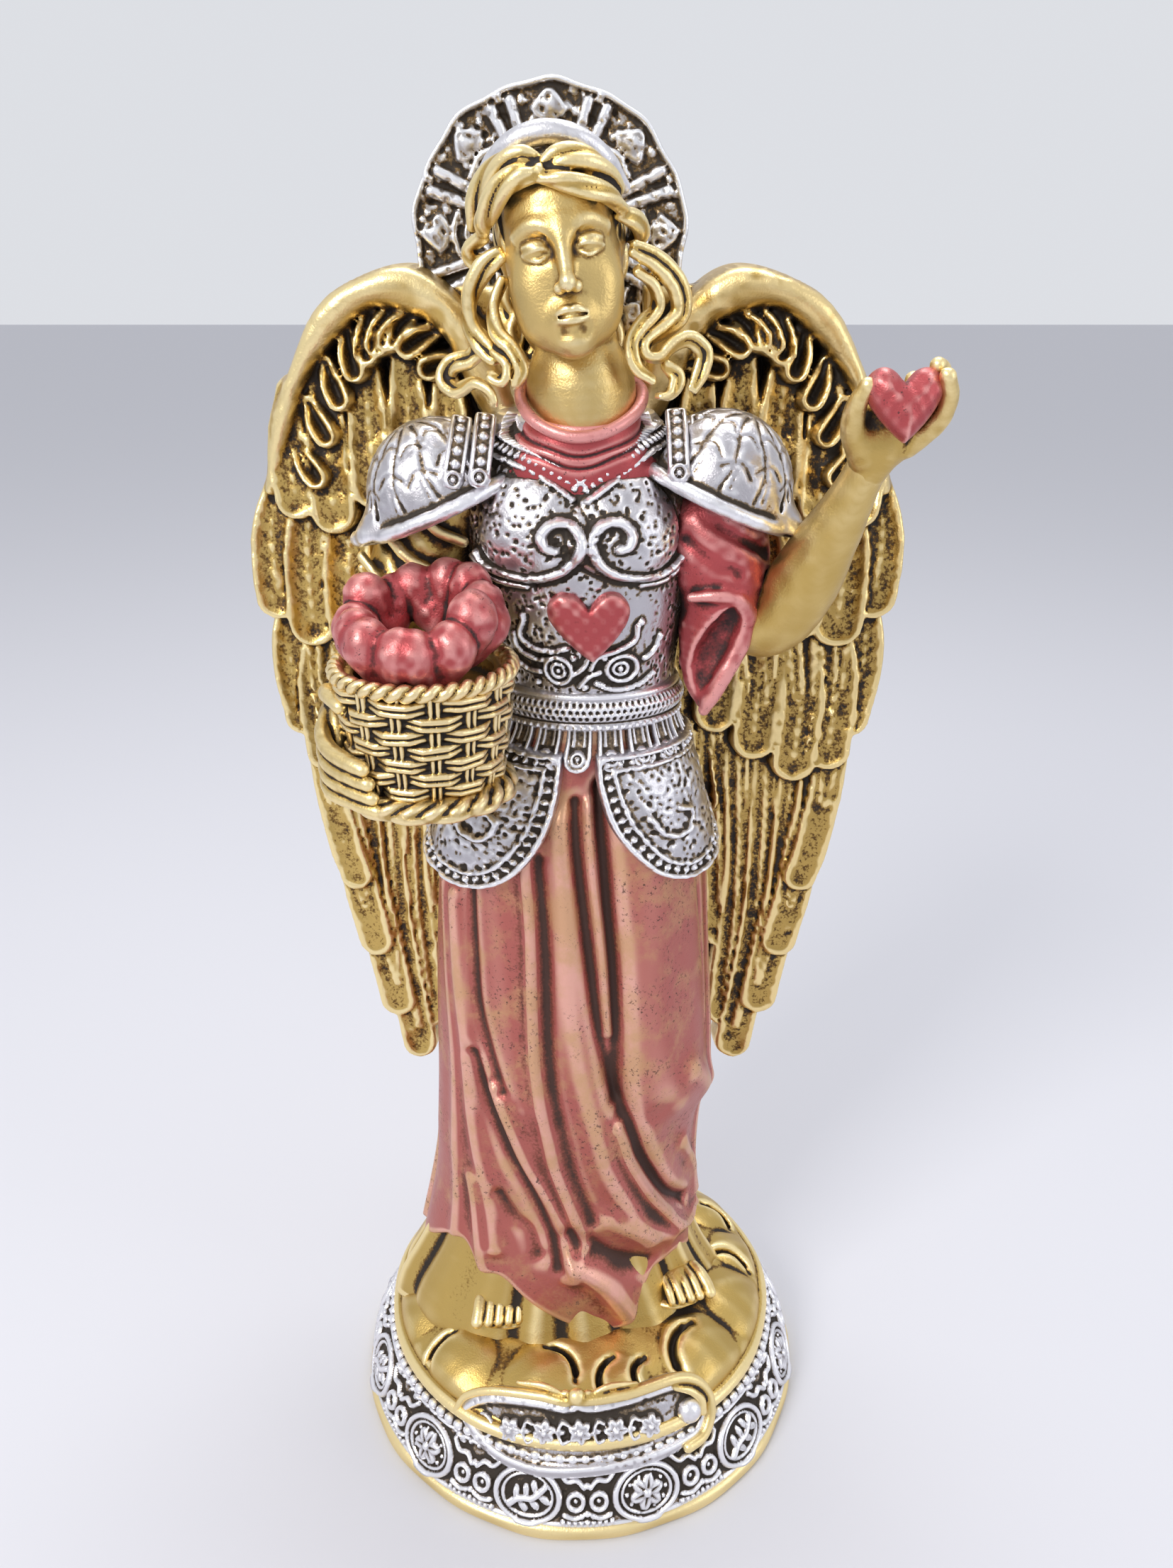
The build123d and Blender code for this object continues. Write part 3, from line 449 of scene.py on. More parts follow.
def antique(name, main, rub_and_highlight, middle, wash_and_shade, metal=0.95, rough=0.34, wash_and_shade_gain=1.0, speck=0.0, patch=None, gilt=None,
            grit_gain=0.5):
    """Metallic paint over cast resin: lighter on what stands proud, darker in what lies deep and where pieces come
    close.

    The lighter edges are partly paint worn by rubbing and partly a painted highlight. The dark is partly antique wash
    in the hollows and partly painted shade where the pieces come close to each other.
    main is the paint. The next colour shows on convex edges, where the paint is worn by rubbing and lit as a painted
    highlight. middle is the thin edge of the dark, and the last colour its depth, both for the wash and for the
    painted shade.
    speck is how many dark pinholes show, and patch a colour that shows through where the paint is thin.
    gilt is the height in millimetres below which another colour lies over the paint, and that colour.
    grit_gain is how strongly fine grain breaks up the edge of the wash and of the painted shade.
    """
    material = bpy.data.materials.new(name)
    material.use_nodes = True
    tree = material.node_tree
    tree.nodes.clear()
    fine, broad, occlusion_shade = (attribute(tree, a) for a in ("fine", "broad", "occlusion_shade"))
    uneven = maths(tree, "SUBTRACT", noise(tree, 0.35, 4.0), 0.5)
    grit = maths(tree, "SUBTRACT", noise(tree, 2.4, 3.0), 0.5)
    # how dark each point turns: recess depth for the antique wash, and crowding between pieces for painted shade
    depth = maths(tree, "MULTIPLY", fine, 9.0 * wash_and_shade_gain)
    depth = maths(tree, "ADD", depth, maths(tree, "MULTIPLY", broad, 1.5 * wash_and_shade_gain))
    # crowding between pieces darkens the colour: painted shade, which also stands for wash pooled in the joins
    depth = maths(tree, "ADD", depth, maths(tree, "MULTIPLY", ramp(tree, occlusion_shade, 0.3, 0.75), 1.15 * wash_and_shade_gain))
    depth = maths(tree, "ADD", depth, maths(tree, "MULTIPLY", uneven, 0.55))
    depth = maths(tree, "ADD", depth, maths(tree, "MULTIPLY", grit, grit_gain))
    # the dark mix is antique wash in the hollows together with painted shade where the pieces come close
    pooled_wash_and_shade = ramp(tree, depth, 0.42, 0.95)
    tinted_wash_and_shade = ramp(tree, depth, 0.12, 0.55)
    # convex edges turn lighter: paint worn by rubbing, and in part a painted highlight
    rub_and_highlight_mask = ramp(tree, maths(tree, "MULTIPLY", fine, -1.0), 0.01, 0.09)
    base = mixed(tree, rub_and_highlight_mask, main, rub_and_highlight)
    if patch:
        worn = ramp(tree, maths(tree, "ADD", noise(tree, 0.16, 5.0, 0.65), maths(tree, "MULTIPLY", rub_and_highlight_mask, 0.12)),
                    0.46, 0.74)
        base = mixed(tree, maths(tree, "MULTIPLY", worn, 0.7), base, patch)
    if gilt:
        place = tree.nodes.new("ShaderNodeSeparateXYZ")
        tree.links.new(tree.nodes.new("ShaderNodeTexCoord").outputs["Object"], place.inputs[0])
        height = maths(tree, "ADD", maths(tree, "MULTIPLY", place.outputs["Z"], -1 / MM),
                       maths(tree, "MULTIPLY", uneven, 9.0))
        base = mixed(tree, ramp(tree, height, -gilt[0] - 4, -gilt[0] + 4), base, gilt[1])
    colour = mixed(tree, tinted_wash_and_shade, base, middle)
    colour = mixed(tree, pooled_wash_and_shade, colour, wash_and_shade)
    dull = pooled_wash_and_shade
    if speck:
        holes = ramp(tree, noise(tree, 1.7, 4.0, 0.75), 0.66 - 0.05 * speck, 0.72 - 0.05 * speck)
        clustered = ramp(tree, noise(tree, 0.12, 2.0), 0.42, 0.6)
        holes = maths(tree, "MULTIPLY", holes, clustered)
        colour = mixed(tree, maths(tree, "MULTIPLY", holes, 0.85), colour, wash_and_shade)
        dull = maths(tree, "MAXIMUM", dull, holes)
    shader = tree.nodes.new("ShaderNodeBsdfPrincipled")
    tree.links.new(colour, shader.inputs["Base Color"])
    tree.links.new(maths(tree, "SUBTRACT", metal, maths(tree, "MULTIPLY", dull, metal * 0.8)),
                   shader.inputs["Metallic"])
    roughness = maths(tree, "ADD", maths(tree, "MULTIPLY", dull, 0.3), maths(tree, "MULTIPLY", uneven, 0.18))
    tree.links.new(maths(tree, "ADD", roughness, rough), shader.inputs["Roughness"])
    bump = tree.nodes.new("ShaderNodeBump")
    bump.inputs["Strength"].default_value = 0.35
    bump.inputs["Distance"].default_value = 0.12 * MM
    tree.links.new(maths(tree, "ADD", maths(tree, "MULTIPLY", noise(tree, 1.1, 2.0), 0.8), noise(tree, 3.5, 2.0)),
                   bump.inputs["Height"])
    tree.links.new(bump.outputs["Normal"], shader.inputs["Normal"])
    out = tree.nodes.new("ShaderNodeOutputMaterial")
    tree.links.new(shader.outputs["BSDF"], out.inputs["Surface"])
    return material


# Each finish lists its paint, its colour on convex edges (paint worn by rubbing, and a painted highlight), the tint
# at the edge of the dark, and the dark colour of the antique wash and of the painted shade.
GOLD = antique("gold paint", (0.56, 0.385, 0.12), (0.95, 0.77, 0.40), (0.24, 0.13, 0.035), (0.018, 0.010, 0.005),
               rough=0.37,
               wash_and_shade_gain=1.2, grit_gain=1.35)
BASKET_GOLD = antique("basket gold", (0.50, 0.34, 0.12), (0.93, 0.75, 0.42), (0.17, 0.085, 0.025),
                      (0.016, 0.009, 0.005),
                      wash_and_shade_gain=2.0, grit_gain=1.5)
HAIR_GOLD = antique("hair gold", (0.60, 0.41, 0.13), (0.95, 0.78, 0.42), (0.22, 0.115, 0.03), (0.016, 0.009, 0.005),
                    wash_and_shade_gain=2.8, grit_gain=1.1)
WING_GOLD = antique("wing gold", (0.60, 0.41, 0.13), (0.95, 0.77, 0.40), (0.22, 0.12, 0.035), (0.018, 0.010, 0.005),
                    wash_and_shade_gain=0.42, grit_gain=2.0)
# a darker copy of the wing gold for the left wing: painted shade on that side
WING_GOLD_SHADED = antique("wing gold shaded", (0.50, 0.33, 0.10), (0.90, 0.70, 0.34), (0.16, 0.085, 0.025),
                     (0.014, 0.008, 0.004),
                     wash_and_shade_gain=0.52, grit_gain=2.3)
SILVER = antique("silver paint", (0.55, 0.53, 0.56), (0.92, 0.91, 0.94), (0.26, 0.19, 0.12), (0.03, 0.02, 0.012),
                 rough=0.34,
                 wash_and_shade_gain=1.15, grit_gain=1.2)
ROSE = antique("rose paint", (0.44, 0.125, 0.105), (0.76, 0.40, 0.32), (0.22, 0.065, 0.045), (0.055, 0.022, 0.015),
               metal=0.6,
               rough=0.38, wash_and_shade_gain=0.36, speck=1.8, patch=(0.58, 0.34, 0.16), grit_gain=0.9)
CRIMSON = antique("crimson paint", (0.42, 0.07, 0.075), (0.76, 0.33, 0.31), (0.19, 0.035, 0.035), (0.03, 0.01, 0.01),
                  metal=0.55,
                  rough=0.38, wash_and_shade_gain=0.8, speck=1.3, grit_gain=0.9)
SKIN = antique("gold skin", (0.66, 0.48, 0.19), (0.95, 0.81, 0.48), (0.30, 0.18, 0.06), (0.03, 0.015, 0.008),
               rough=0.38,
               wash_and_shade_gain=0.6)
HALO_SILVER = antique("halo silver", (0.50, 0.47, 0.45), (0.93, 0.93, 0.95), (0.24, 0.15, 0.06), (0.03, 0.02, 0.012),
                      wash_and_shade_gain=0.8, gilt=(173.0, (0.58, 0.40, 0.14)), grit_gain=1.8)
FINISH = {"antique_gold": GOLD, "antique_silver": SILVER, "rose_paint": ROSE}


# ================================================================ lathes
def capped(front):
    """A closed solid from a wrapped grid of points, its first and last columns closed by strips of quads."""
    rows, columns = front.shape[:2]
    quads = [grid_quads(rows, columns, True)]
    i = np.arange(rows // 2 - 1)
    for column, flip in ((0, True), (columns - 1, False)):
        k = np.stack([i, i + 1, rows - 2 - i, rows - 1 - i], -1) * columns + column
        quads.append(k[:, ::-1] if flip else k)
    return front.reshape(-1, 3), np.vstack(quads)


def section_at(sections, z):
    """Rows of (z, values...) read at heights z by a smooth curve through them."""
    table = smooth_path(sections, 16)
    return [np.interp(z, table[:, 0], table[:, k]) for k in range(1, table.shape[1])]


def wrapped_body(sections, relief, spread=0.0):
    """Points of an upright body: relief heights laid square on elliptical sections. u is the angle in degrees."""
    angle = np.radians(relief.u)[:, None]
    z = relief.v[None, :]
    cx, cy, rx, ry = section_at(sections, relief.v)
    outward = np.stack(np.broadcast_arrays(np.cos(angle) * ry[None, :], np.sin(angle) * rx[None, :]), -1)
    outward = outward / np.linalg.norm(outward, axis=-1, keepdims=True)
    x = cx[None, :] + rx[None, :] * np.cos(angle) + outward[..., 0] * relief.h
    y = cy[None, :] + ry[None, :] * np.sin(angle) + outward[..., 1] * relief.h
    return np.stack([x, y, np.broadcast_to(z, x.shape) + spread * relief.h], -1)


# ================================================================ robe
ROBE = [(19.0, -4.0, 0.6, 24.4, 18.2), (27.0, -4.0, 0.5, 22.6, 17.0), (41.5, -2.7, 0.5, 21.0, 15.6),
        (52.0, -2.2, 0.2, 20.8, 15.4), (62.0, -1.2, 0.0, 21.2, 15.4), (85.0, -1.3, 0.0, 20.2, 14.8),
        (105.0, -1.0, 0.0, 18.4, 13.6), (116.0, 0.2, 0.0, 14.0, 10.6), (122.0, 1.2, 0.0, 11.8, 8.9)]


def robe_angle(x, z, front=True):
    """The angle in degrees at which the robe's side, front or back, passes x at height z."""
    cx, _, rx, _ = section_at(ROBE, z)
    angle = math.degrees(math.acos(max(-1, min(1, (x - cx) / rx))))
    return -angle if front else angle


def fold(relief, line, width, height, front=True, taper=False):
    """A soft ridge, or a furrow if the height is negative, along (x, z) points seen on the front or the back."""
    points = [(robe_angle(x, z, front), z * ROBE_V) for x, z in line]
    relief.stroke(points, width * (3.4 if height > 0 else 4.4), height * (0.85 if height > 0 else 0.52), add=True,
                  soft=True, taper=taper)


ROBE_V = 3.0
HEM = [(-180, 27.0), (-172, 28.5), (-160, 31.0), (-148, 34.0), (-136, 36.0), (-124, 32.0), (-112, 31.0), (-100, 27.0),
       (-88, 24.0), (-76, 21.5), (-66, 21.0), (-56, 24.5), (-44, 29.5), (-30, 30.0), (-10, 26.5), (20, 24.5),
       (60, 23.5),
       (90, 23.0), (130, 24.0), (160, 25.5), (180, 27.0)]


def make_robe():
    relief = Relief(-180, 180, 0, 1, 1.0, wrap=True)
    relief.u = np.linspace(-180, 180, 340, endpoint=False)
    relief.v = np.linspace(20.0 * ROBE_V, 122.0 * ROBE_V, 250)
    relief.wrap = 360.0
    relief.h = np.zeros((340, 250))
    # the front, from the figure's right side to its left
    fold(relief, [(-19.0, 98), (-19.0, 84), (-18.6, 70), (-19.0, 56), (-19.5, 40), (-20.5, 27)], 1.4, 0.9)
    fold(relief, [(-17.6, 96), (-17.4, 84), (-16.6, 72), (-16.2, 60), (-14.6, 48), (-13.4, 36)], 1.3, 1.2)
    fold(relief, [(-15.2, 99), (-15.1, 87), (-14.8, 80), (-13.4, 73), (-11.6, 66)], 0.75, -1.8)
    fold(relief, [(-15.9, 71), (-14.2, 64), (-11.2, 55.6), (-7.6, 48), (-4.8, 41), (-3.0, 34)], 0.8, -2.4)
    fold(relief, [(-12.4, 66), (-9.4, 57), (-5.6, 48), (-2.8, 40), (-1.4, 32)], 1.0, 1.3)
    fold(relief, [(-12.0, 100), (-11.4, 88), (-10.6, 76), (-8.4, 64)], 2.6, 0.7)
    fold(relief, [(-7.2, 104), (-6.7, 94), (-6.6, 81), (-6.2, 70), (-4.8, 59), (-2.0, 47), (1.0, 37)], 0.8, 1.25)
    fold(relief, [(-5.6, 104), (-5.0, 96), (-4.6, 86), (-4.3, 72), (-3.0, 62), (-0.8, 51), (2.0, 42)], 0.75, -1.4)
    fold(relief, [(-2.4, 110), (-1.8, 98), (-1.4, 84), (0.2, 70), (3.0, 57), (6.4, 46), (11.0, 36)], 1.6, 1.2)
    fold(relief, [(-0.6, 112), (0.2, 100), (0.9, 94), (1.8, 87), (2.5, 81), (4.1, 71), (5.5, 65)], 0.7, -2.4)
    fold(relief, [(1.4, 112), (2.0, 102), (3.0, 93.5), (3.7, 85), (4.3, 76.5)], 0.7, 1.1)
    fold(relief, [(2.8, 114), (3.6, 104), (4.1, 97), (4.9, 88), (5.3, 79), (5.9, 67), (7.4, 59.5), (10.2, 51),
                  (14.2, 42.5), (17.6, 36.8)], 0.85, -3.4)
    fold(relief, [(6.2, 60), (8.4, 52), (12.0, 43), (16.4, 34), (18.4, 32)], 1.0, 1.6)
    fold(relief, [(9.0, 108), (9.4, 92), (9.6, 78), (11.4, 68), (14.0, 62)], 4.2, 1.7)
    fold(relief, [(17.0, 66), (19.4, 60.5), (20.0, 57.5)], 2.4, 1.5)
    fold(relief, [(12.6, 60.5), (15.6, 53), (17.4, 46)], 2.2, -1.7)
    fold(relief, [(16.8, 50), (18.2, 42), (19.4, 35)], 1.3, 1.4)
    fold(relief, [(16.6, 104), (17.9, 92), (19.0, 80), (19.6, 70)], 0.7, -1.1)
    fold(relief, [(-1.6, 39.5), (1.9, 37.0), (6.4, 33.4), (11.0, 30.6)], 1.3, -2.6)
    fold(relief, [(-0.4, 34.5), (4.0, 30.0), (7.5, 24.0), (8.6, 20)], 1.7, 2.6)
    fold(relief, [(4.6, 42.0), (10.0, 37.6), (15.0, 34.0)], 1.6, 1.2)
    fold(relief, [(-12.6, 46), (-10.4, 42.5), (-8.0, 40), (-6.6, 36)], 0.9, -1.7)
    fold(relief, [(-16.6, 48), (-15.8, 38), (-15.0, 30)], 1.1, 1.5)
    # the sides and the back: long folds gathered at the waist that open towards the hem
    for k in range(13):
        start, end = 8 + 12.6 * k, 4 + 13.6 * k
        sway = 3.0 * math.sin(1.7 * k)
        line = [(start, 104 * ROBE_V), (start + sway, 84 * ROBE_V), (end - sway, 56 * ROBE_V), (end, 22 * ROBE_V)]
        relief.stroke(line, 3.6, 1.1 + 0.35 * math.sin(2.3 * k), add=True, soft=True)
        line = [(u + 6.4, v) for u, v in line]
        relief.stroke(line, 2.4, -1.2 - 0.4 * math.cos(1.9 * k), add=True, soft=True)
    body = wrapped_body(ROBE, scaled(relief, ROBE_V))
    hem = np.interp(relief.u, *zip(*HEM))
    for _ in range(14):
        hem = (np.roll(hem, 1) + 2 * hem + np.roll(hem, -1)) / 4
    top = 121.5
    z = body[..., 2]
    # slide the rows so that the lowest follows the hem
    place = (z - 20.0) / (122.0 - 20.0)
    target = hem[:, None] + (top - hem[:, None]) * place
    settled = np.empty_like(body)
    for i in range(body.shape[0]):
        for k in range(2):
            settled[i, :, k] = np.interp(target[i], z[i], body[i, :, k])
    settled[..., 2] = target
    # the cloth rolls under at the hem and runs up inside
    middle = np.array([-3.0, 0.5, 0])
    under = []
    for inset, rise in ((0.985, -0.35), (0.955, -0.2), (0.93, 0.6), (0.92, 3.0)):
        ring = settled[:, 0].copy()
        ring[:, :2] = middle[:2] + (ring[:, :2] - middle[:2]) * inset
        ring[:, 2] += rise
        under.insert(0, ring)
    front = np.concatenate([np.stack(under, 1), settled], 1)
    return piece("robe_cloth", *capped(front), "rose_paint", ("robe", "robe_hips"))


def scaled(relief, factor):
    """The same relief with its v axis divided by a factor."""
    other = Relief.__new__(Relief)
    other.u, other.v, other.wrap, other.h = relief.u, relief.v / factor, relief.wrap, relief.h
    return other


# ================================================================ wings
WING_MIDDLE = -1.0
WING_SPREAD = {"right": -0.985, "left": 1.03}
WING_BACK_Y = 12.2
ARCH = [(9.5, 162.0), (13.5, 170.5), (18.5, 175.2), (24.0, 176.2), (29.5, 173.8), (34.5, 168.0), (38.4, 160.0),
        (41.0, 151.0)]
# Feathers as a course of (across, height) points, width and level, from the back layer to the front one.
PRIMARIES = [
    ([(14.0, 140), (15.6, 122), (18.6, 104)], 6.0, 1.0),
    ([(18.0, 142), (20.5, 118), (22.6, 96), (22.6, 82)], 6.0, 1.1),
    ([(22.0, 142), (24.4, 116), (25.6, 90), (24.0, 66)], 5.6, 1.2),
    ([(26.4, 140), (28.8, 112), (28.8, 84), (25.8, 60.5)], 5.6, 1.3),
    ([(30.4, 136), (32.6, 110), (31.6, 88), (28.8, 69)], 5.6, 1.4),
    ([(34.0, 130), (35.4, 108), (33.8, 91), (31.8, 80)], 5.4, 1.6),
    ([(37.4, 128), (37.6, 112), (35.6, 98), (34.0, 92)], 5.0, 1.9),
]
LOWER = [
    ([(39.4, 138), (41.0, 128), (39.6, 117.5)], 6.0, 2.4), ([(34.6, 136), (37.2, 124), (36.6, 112.5)], 6.6, 2.7),
    ([(29.6, 138), (32.2, 124), (31.4, 111.5)], 6.8, 2.6), ([(24.4, 138), (26.4, 126), (26.0, 114.5)], 6.6, 2.4),
    ([(19.4, 140), (20.6, 128), (20.6, 118.0)], 6.2, 2.2),
]
MIDDLE_TIER = [
    ([(40.2, 152), (41.6, 145), (41.2, 136.5)], 7.0, 3.6), ([(35.0, 152), (36.8, 143), (36.6, 132.0)], 7.4, 3.9),
    ([(29.6, 152), (31.2, 143), (31.0, 133.0)], 7.4, 3.7), ([(24.2, 153), (25.2, 145), (25.0, 136.0)], 7.2, 3.5),
    ([(18.6, 154), (19.4, 146), (19.6, 138.5)], 6.6, 3.2), ([(13.6, 154), (14.0, 147), (14.4, 140.5)], 6.0, 3.0),
]
UPPER = [
    ([(37.6, 163), (38.4, 157), (37.8, 149.5)], 6.2, 4.6), ([(32.6, 166), (32.8, 158), (32.4, 149.0)], 6.6, 4.8),
    ([(27.4, 168), (27.2, 160), (27.0, 151.0)], 6.6, 4.7), ([(22.0, 168), (21.6, 161), (21.6, 152.0)], 6.4, 4.5),
    ([(16.6, 167), (16.4, 160), (16.6, 152.5)], 6.0, 4.3),
]


def lay_feather(h, outline, a, z, course, width, level, seed, rim=0.45, dish=0.3, shaft=0.22, barbs=0.07):
    """Lay one hollow feather over the height map: a rounded rim, a sunk web with barbs and a shaft."""
    path = smooth_path(course, 6)
    low, high = path.min(0) - width, path.max(0) + width
    i = np.nonzero((a >= low[0]) & (a <= high[0]))[0]
    j = np.nonzero((z >= low[1]) & (z <= high[1]))[0]
    where = np.ix_(i, j)
    pa, pz = a[i][:, None], z[j][None, :]
    best = np.full((len(i), len(j)), 1e3)
    across = np.zeros_like(best)
    travel = np.zeros_like(best)
    length = 0.0
    total = np.linalg.norm(np.diff(path, axis=0), axis=1).sum()
    for p, q in zip(path[:-1], path[1:]):
        along = q - p
        size = np.linalg.norm(along)
        raw = ((pa - p[0]) * along[0] + (pz - p[1]) * along[1]) / size ** 2
        t = np.clip(raw, 0, 1)
        d = np.hypot(pa - p[0] - along[0] * t, pz - p[1] - along[1] * t)
        side = ((pa - p[0]) * along[1] - (pz - p[1]) * along[0]) / size
        nearer = d < best
        best = np.where(nearer, d, best)
        across = np.where(nearer, side, across)
        travel = np.where(nearer, length + size * t, travel)
        length += size
    u = travel / total
    half = width / 2 * (0.62 + 0.38 * np.sin(np.clip(u, 0, 1) * 1.9))
    edge = half - best
    inside = edge > 0
    wobble = 0.35 * math.sin(seed * 1.3)
    web = level + 2.3 * (u - 0.55) + 0.35 * across / half * wobble
    ridge = rim * np.exp(-((edge - 0.7) / 0.8) ** 2) * np.clip(u * 2.4, 0.25, 1)
    sink = dish * np.clip((edge - 0.9) / 1.6, 0, 1)
    rib = shaft * np.exp(-((across - 0.2 * wobble) / 0.36) ** 2) * np.clip((total - travel) / 2.0, 0, 1)
    comb = barbs * np.sin((travel * 0.95 + np.abs(across) * 1.1) * 2 * math.pi / 1.7 + seed)
    comb = comb * np.clip(edge - 0.9, 0, 1)
    lip = np.clip(edge / 0.35, 0, 1) ** 0.5
    height = (web + ridge - sink + rib + comb) * lip
    h[where] = np.where(inside & (height > h[where] - 0.8), height, h[where])
    outline[where] = np.minimum(outline[where], -edge)


def make_wing(side):
    spread = WING_SPREAD[side]
    seed = 3 if side == "right" else 11
    random = np.random.default_rng(seed)
    a = np.arange(3.0, 48.0, 0.3)
    z = np.arange(52.0, 184.0, 0.3)
    h = np.full((len(a), len(z)), 0.4)
    outline = np.full_like(h, 3.0)
    pa, pz = a[:, None], z[None, :]
    # the plain blade behind the feathers
    inner = np.interp(z, [56, 74, 92, 106, 118, 128, 138, 150, 166, 172],
                      [23.4, 20.6, 18.4, 15.5, 12.5, 9.5, 6.0, 5.0, 6.0, 9.0])
    outer = np.interp(z, [58, 66, 84, 100, 116, 138, 150, 160, 168, 173, 176],
                      [25.5, 29.0, 33.0, 35.5, 39.0, 42.0, 41.5, 38.6, 34.0, 29.0, 22.0])
    blade = np.maximum(inner[None, :] - pa, pa - outer[None, :])
    blade = np.maximum(blade, np.maximum(58.5 - pz, pz - 176.5))
    outline = np.minimum(outline, blade)
    number = 0
    for tier, jitter in ((PRIMARIES, 0.5), (LOWER, 0.7), (MIDDLE_TIER, 0.8), (UPPER, 0.8)):
        for course, width, level in tier:
            number += 1
            shift = random.uniform(-jitter, jitter, 2)
            course = [(x + shift[0] * k / len(course), y + shift[1]) for k, (x, y) in enumerate(course)]
            if tier is PRIMARIES:
                lay_feather(h, outline, a, z, course, width * 1.15, level * 1.5 - 0.4, number, rim=0.3, dish=0.15,
                            shaft=0.0,
                            barbs=0.05)
            else:
                lay_feather(h, outline, a, z, course, width * random.uniform(1.0, 1.12), level, number)
    # paired ridges down the long feathers
    lines = Relief(a[0], a[-1], z[0], z[-1], 0.3)
    lines.u, lines.v, lines.h = a, z, np.zeros_like(h)
    for course, width, level in PRIMARIES:
        for offset in (-0.6, 0.6):
            lines.stroke([(x + offset, y) for x,
                          y in course[:-1]] + [(course[-1][0] + offset * 0.3, course[-1][1] + 3)], 0.6, 0.45)
    long_zone = np.clip((h < 2.6) * 1.0, 0, 1)
    h += lines.h * long_zone
    # deep little hollows between the curled feathers under the arch
    arch = smooth_path(ARCH, 10)
    step = np.linspace(0.1, 0.9, 9)
    for k, place in enumerate(step):
        m = int(place * (len(arch) - 1))
        tangent = arch[min(m + 1, len(arch) - 1)] - arch[max(m - 1, 0)]
        tangent = tangent / np.linalg.norm(tangent)
        inward = np.array([tangent[1], -tangent[0]])
        root = arch[m] + inward * 2.4
        tip = arch[m] + inward * 5.8 + tangent * 2.0 + np.array([0, -0.8])
        bend = (root + tip) / 2 + tangent * 0.2
        lay_feather(h, outline, a, z, [tuple(root), tuple(bend), tuple(tip)], 4.0, 5.4, k, rim=0.9, dish=2.6,
                    shaft=0.0, barbs=0.0)
    # the arch itself: a thick smooth roll along the leading edge
    best = np.full_like(h, 1e3)
    weight = np.zeros_like(h)
    for k, (p, q) in enumerate(zip(arch[:-1], arch[1:])):
        along = q - p
        t = np.clip(((pa - p[0]) * along[0] + (pz - p[1]) * along[1]) / (along @ along), 0, 1)
        d = np.hypot(pa - p[0] - along[0] * t, pz - p[1] - along[1] * t)
        nearer = d < best
        best = np.where(nearer, d, best)
        weight = np.where(nearer, (k + t) / (len(arch) - 1), weight)
    girth = 2.7 - 1.5 * np.clip((weight - 0.35) / 0.65, 0, 1) + 0.25 * np.sin(weight * 23.0)
    roll = 3.6 + 2.9 * dome(best, girth) - 1.2 * np.clip((weight - 0.6) / 0.4, 0, 1)
    h = np.where(best < girth, np.maximum(roll, h), h)
    outline = np.minimum(outline, best - girth)
    # the whole front is worked by hand: soft dents a few millimetres across
    for _ in range(900):
        where, du, dv = lines.window(random.uniform(3, 45), random.uniform(56, 180), 2.4)
        h[where] += random.uniform(-0.24, 0.2) * np.clip(1 - (du ** 2 + dv ** 2) / random.uniform(0.8, 2.4) ** 2, 0,
                                                         1) ** 2
    # solid between the front and the back
    rake = 2.6 * np.clip((pz - 150) / 30, 0, 1) ** 2 + 0.03 * (pa - 20) + 1.5 * np.clip((20 - pa) / 15, 0, 1)
    back = np.full_like(h, WING_BACK_Y) + 1.4 * np.clip(1 - best / 9.0, 0, 1)
    quills = Relief(a[0], a[-1], z[0], z[-1], 0.3)
    quills.u, quills.v, quills.h = a, z, np.zeros_like(h)
    for course, width, level in PRIMARIES:
        quills.stroke(course, 0.7, 0.5)
        quills.stroke([(x + width * 0.45, y) for x, y in course], 0.5, -0.6, add=True, soft=True)
    for tier in (MIDDLE_TIER, LOWER, UPPER):
        for course, width, level in tier:
            quills.stroke([(x, y - 2) for x, y in course], 0.5, 0.5)
            tip = course[-1]
            arc = [(tip[0] + width * 0.5 * math.cos(t),
                    tip[1] - 1.5 + width * 0.55 * math.sin(t)) for t in np.linspace(0, -math.pi, 7)]
            quills.stroke(arc, 0.45, 0.75)
    back = back + quills.h
    front_y = WING_BACK_Y - 2.6 - rake - h
    low = (min(WING_MIDDLE + spread * 3, WING_MIDDLE + spread * 48), 0.0, 52.0)
    high = (max(WING_MIDDLE + spread * 3, WING_MIDDLE + spread * 48), 16.5, 184.0)
    clay = Clay(low, high, 0.37)
    reach = (clay.axes[0] - WING_MIDDLE) / spread
    ia = np.clip((reach - a[0]) / 0.3, 0, len(a) - 1.001)
    iz = np.clip((clay.axes[2] - z[0]) / 0.3, 0, len(z) - 1.001)

    def on_clay(field):
        i, j = ia.astype(int)[:, None], iz.astype(int)[None, :]
        s, t = (ia % 1)[:, None], (iz % 1)[None, :]
        return ((field[i, j] * (1 - s) + field[i + 1, j] * s) * (1 - t)
                + (field[i, j + 1] * (1 - s) + field[i + 1, j + 1] * s) * t)

    slope_a, slope_z = np.gradient(front_y, 0.3)
    steep = np.sqrt(1 + np.minimum(slope_a ** 2 + slope_z ** 2, 6.0))
    f = on_clay(front_y)[:, None, :]
    g = on_clay(steep)[:, None, :]
    b = on_clay(back)[:, None, :]
    o = on_clay(outline)[:, None, :]
    y = clay.axes[1][None, :, None]
    d = np.maximum((f - y) / g, (y - b) / 1.1)
    d = -merge_low(-d, -o, 1.0)
    clay.d = np.clip(d, -FAR, FAR).astype(np.float32)
    points, quads = clay.mesh()
